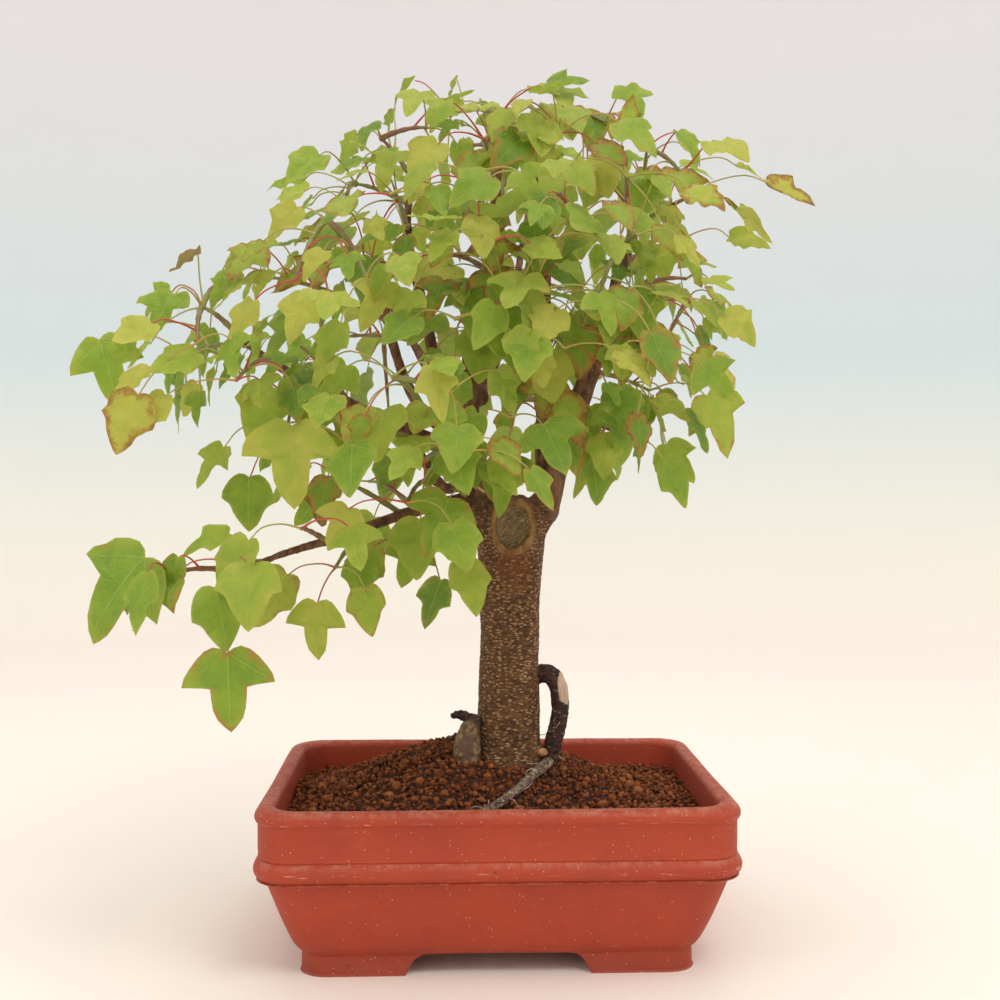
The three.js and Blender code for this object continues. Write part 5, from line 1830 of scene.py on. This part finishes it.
def stalks(name, runs, roundness, finishes, kind):
    """Rods in one of the shoot's finishes."""
    piece = tubes(name, runs, roundness)
    for finish in finishes:
        piece.data.materials.append(finish)
    for polygon in piece.data.polygons:
        polygon.material_index = kind
    return [piece]


def finish_foliage(piece, number):
    select_only(piece)
    bpy.ops.object.shade_smooth()
    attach(piece, "root")
    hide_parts(f"leafy_shoot_{number}")


# ---- Stage, light and camera -----------------------------------------------------------------
AIR_STRENGTH = 0.30
# Name, place in metres, side of the square in metres and power in watts.
STUDIO_LIGHTS = [
    ("key_light", (0.9, -1.3, 1.7), 1.2, 32),
    ("fill_light", (-1.3, -0.9, 0.9), 1.4, 9.5),
    ("top_light", (0, 0.1, 1.9), 1.6, 14),
]
FLOOR_RADIUS = 1.1
COVE_RADIUS = 0.5
COVE_STEPS = 12
WALL_HEIGHT = 1.6
EYE = (-20.2, -594.6, 206.9)
LENS = 46.8
SENSOR = 36
TILT = 88.98
TURN = -2.21


def backdrop_finish():
    """Painted light: cream at the floor, pale grey-blue in the middle and faintly pink at the top, for how
    the studio light falls on a plain backdrop.
    """
    material, nodes, surface = new_material("studio_backdrop")
    height = nodes.split(nodes.object_place())["Z"]
    tones = nodes.add("ShaderNodeValToRGB", {0: height})
    ramp = tones.color_ramp
    ramp.elements[0].color = (1.0, 0.91, 0.80, 1)
    ramp.elements[1].color = (0.77, 0.73, 0.745, 1)
    for stop, colour in BACKDROP_TONES:
        ramp.elements.new(stop).color = colour
    nodes.set(surface.inputs["Base Color"], tones.outputs[0])
    surface.inputs["Roughness"].default_value = 0.9
    surface.inputs["Specular IOR Level"].default_value = 0.1
    return material


def make_backdrop():
    """A seamless floor that curves up into a wall behind the pot."""
    bpy.ops.object.select_all(action="DESELECT")
    bpy.ops.mesh.primitive_circle_add(
        vertices=96, radius=FLOOR_RADIUS, fill_type="NGON", location=(0, 0, 0),
    )
    piece = start_piece("backdrop")
    start_edit(piece, "FACE")
    bpy.ops.mesh.select_all(action="SELECT")
    bpy.ops.mesh.select_mode(type="EDGE")
    bpy.ops.mesh.region_to_loop()
    radius, last = FLOOR_RADIUS, 0
    for step in range(1, COVE_STEPS + 1):
        turn = math.pi / 2 * step / COVE_STEPS
        reach = FLOOR_RADIUS + COVE_RADIUS * math.sin(turn)
        height = COVE_RADIUS * (1 - math.cos(turn))
        bpy.ops.mesh.extrude_edges_move(TRANSFORM_OT_translate={"value": (0, 0, height - last)})
        bpy.ops.transform.resize(
            value=(reach / radius, reach / radius, 1), center_override=(0, 0, height),
        )
        radius, last = reach, height
    bpy.ops.mesh.extrude_edges_move(TRANSFORM_OT_translate={"value": (0, 0, WALL_HEIGHT)})
    bpy.ops.mesh.select_all(action="SELECT")
    bpy.ops.mesh.normals_make_consistent(inside=True)
    end_edit()
    select_only(piece)
    bpy.ops.object.shade_smooth()
    piece.data.materials.append(backdrop_finish())


def add_light(name, place, size, power, colour=(1, 1, 1)):
    """A square soft light that faces the middle of the crown."""
    bpy.ops.object.light_add(type="AREA", location=place)
    light = bpy.context.active_object
    light.name = name
    light.data.size = size
    light.data.energy = power
    light.data.color = colour
    aim = Vector((0, 0, 0.18)) - Vector(place)
    light.rotation_euler = aim.to_track_quat("-Z", "Y").to_euler()


def light_world(strength):
    world = bpy.data.worlds.new("studio_air")
    bpy.context.scene.world = world
    world.use_nodes = True
    background = world.node_tree.nodes["Background"]
    background.inputs["Color"].default_value = (1.0, 1.0, 1.0, 1)
    background.inputs["Strength"].default_value = strength


def place_camera():
    """The eye is a little above the rim, straight in front."""
    bpy.ops.object.camera_add(location=at(*EYE))
    camera = bpy.context.active_object
    camera.name = "front_camera"
    camera.data.lens = LENS
    camera.data.sensor_width = SENSOR
    camera.rotation_euler = (math.radians(TILT), 0, math.radians(TURN))
    bpy.context.scene.camera = camera


make_pot()
make_soil_bed()
make_grains()
make_pebble()
make_wood()
make_arched_root()
make_surface_root()
make_root_knob()
make_broken_stub()
make_rootlets()
make_foliage()
BLACK_MESH, SOFT_WIRE = plastic_finish(), wire_finish()
for side in ("left", "right"):
    for node, finish in ((f"drain_screen_{side}", BLACK_MESH), (f"drain_wire_{side}", SOFT_WIRE)):
        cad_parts[node].data.materials.clear()
        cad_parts[node].data.materials.append(finish)
make_backdrop()
light_world(AIR_STRENGTH)
for light in STUDIO_LIGHTS:
    add_light(*light)
place_camera()
bpy.context.scene.view_settings.view_transform = "Standard"
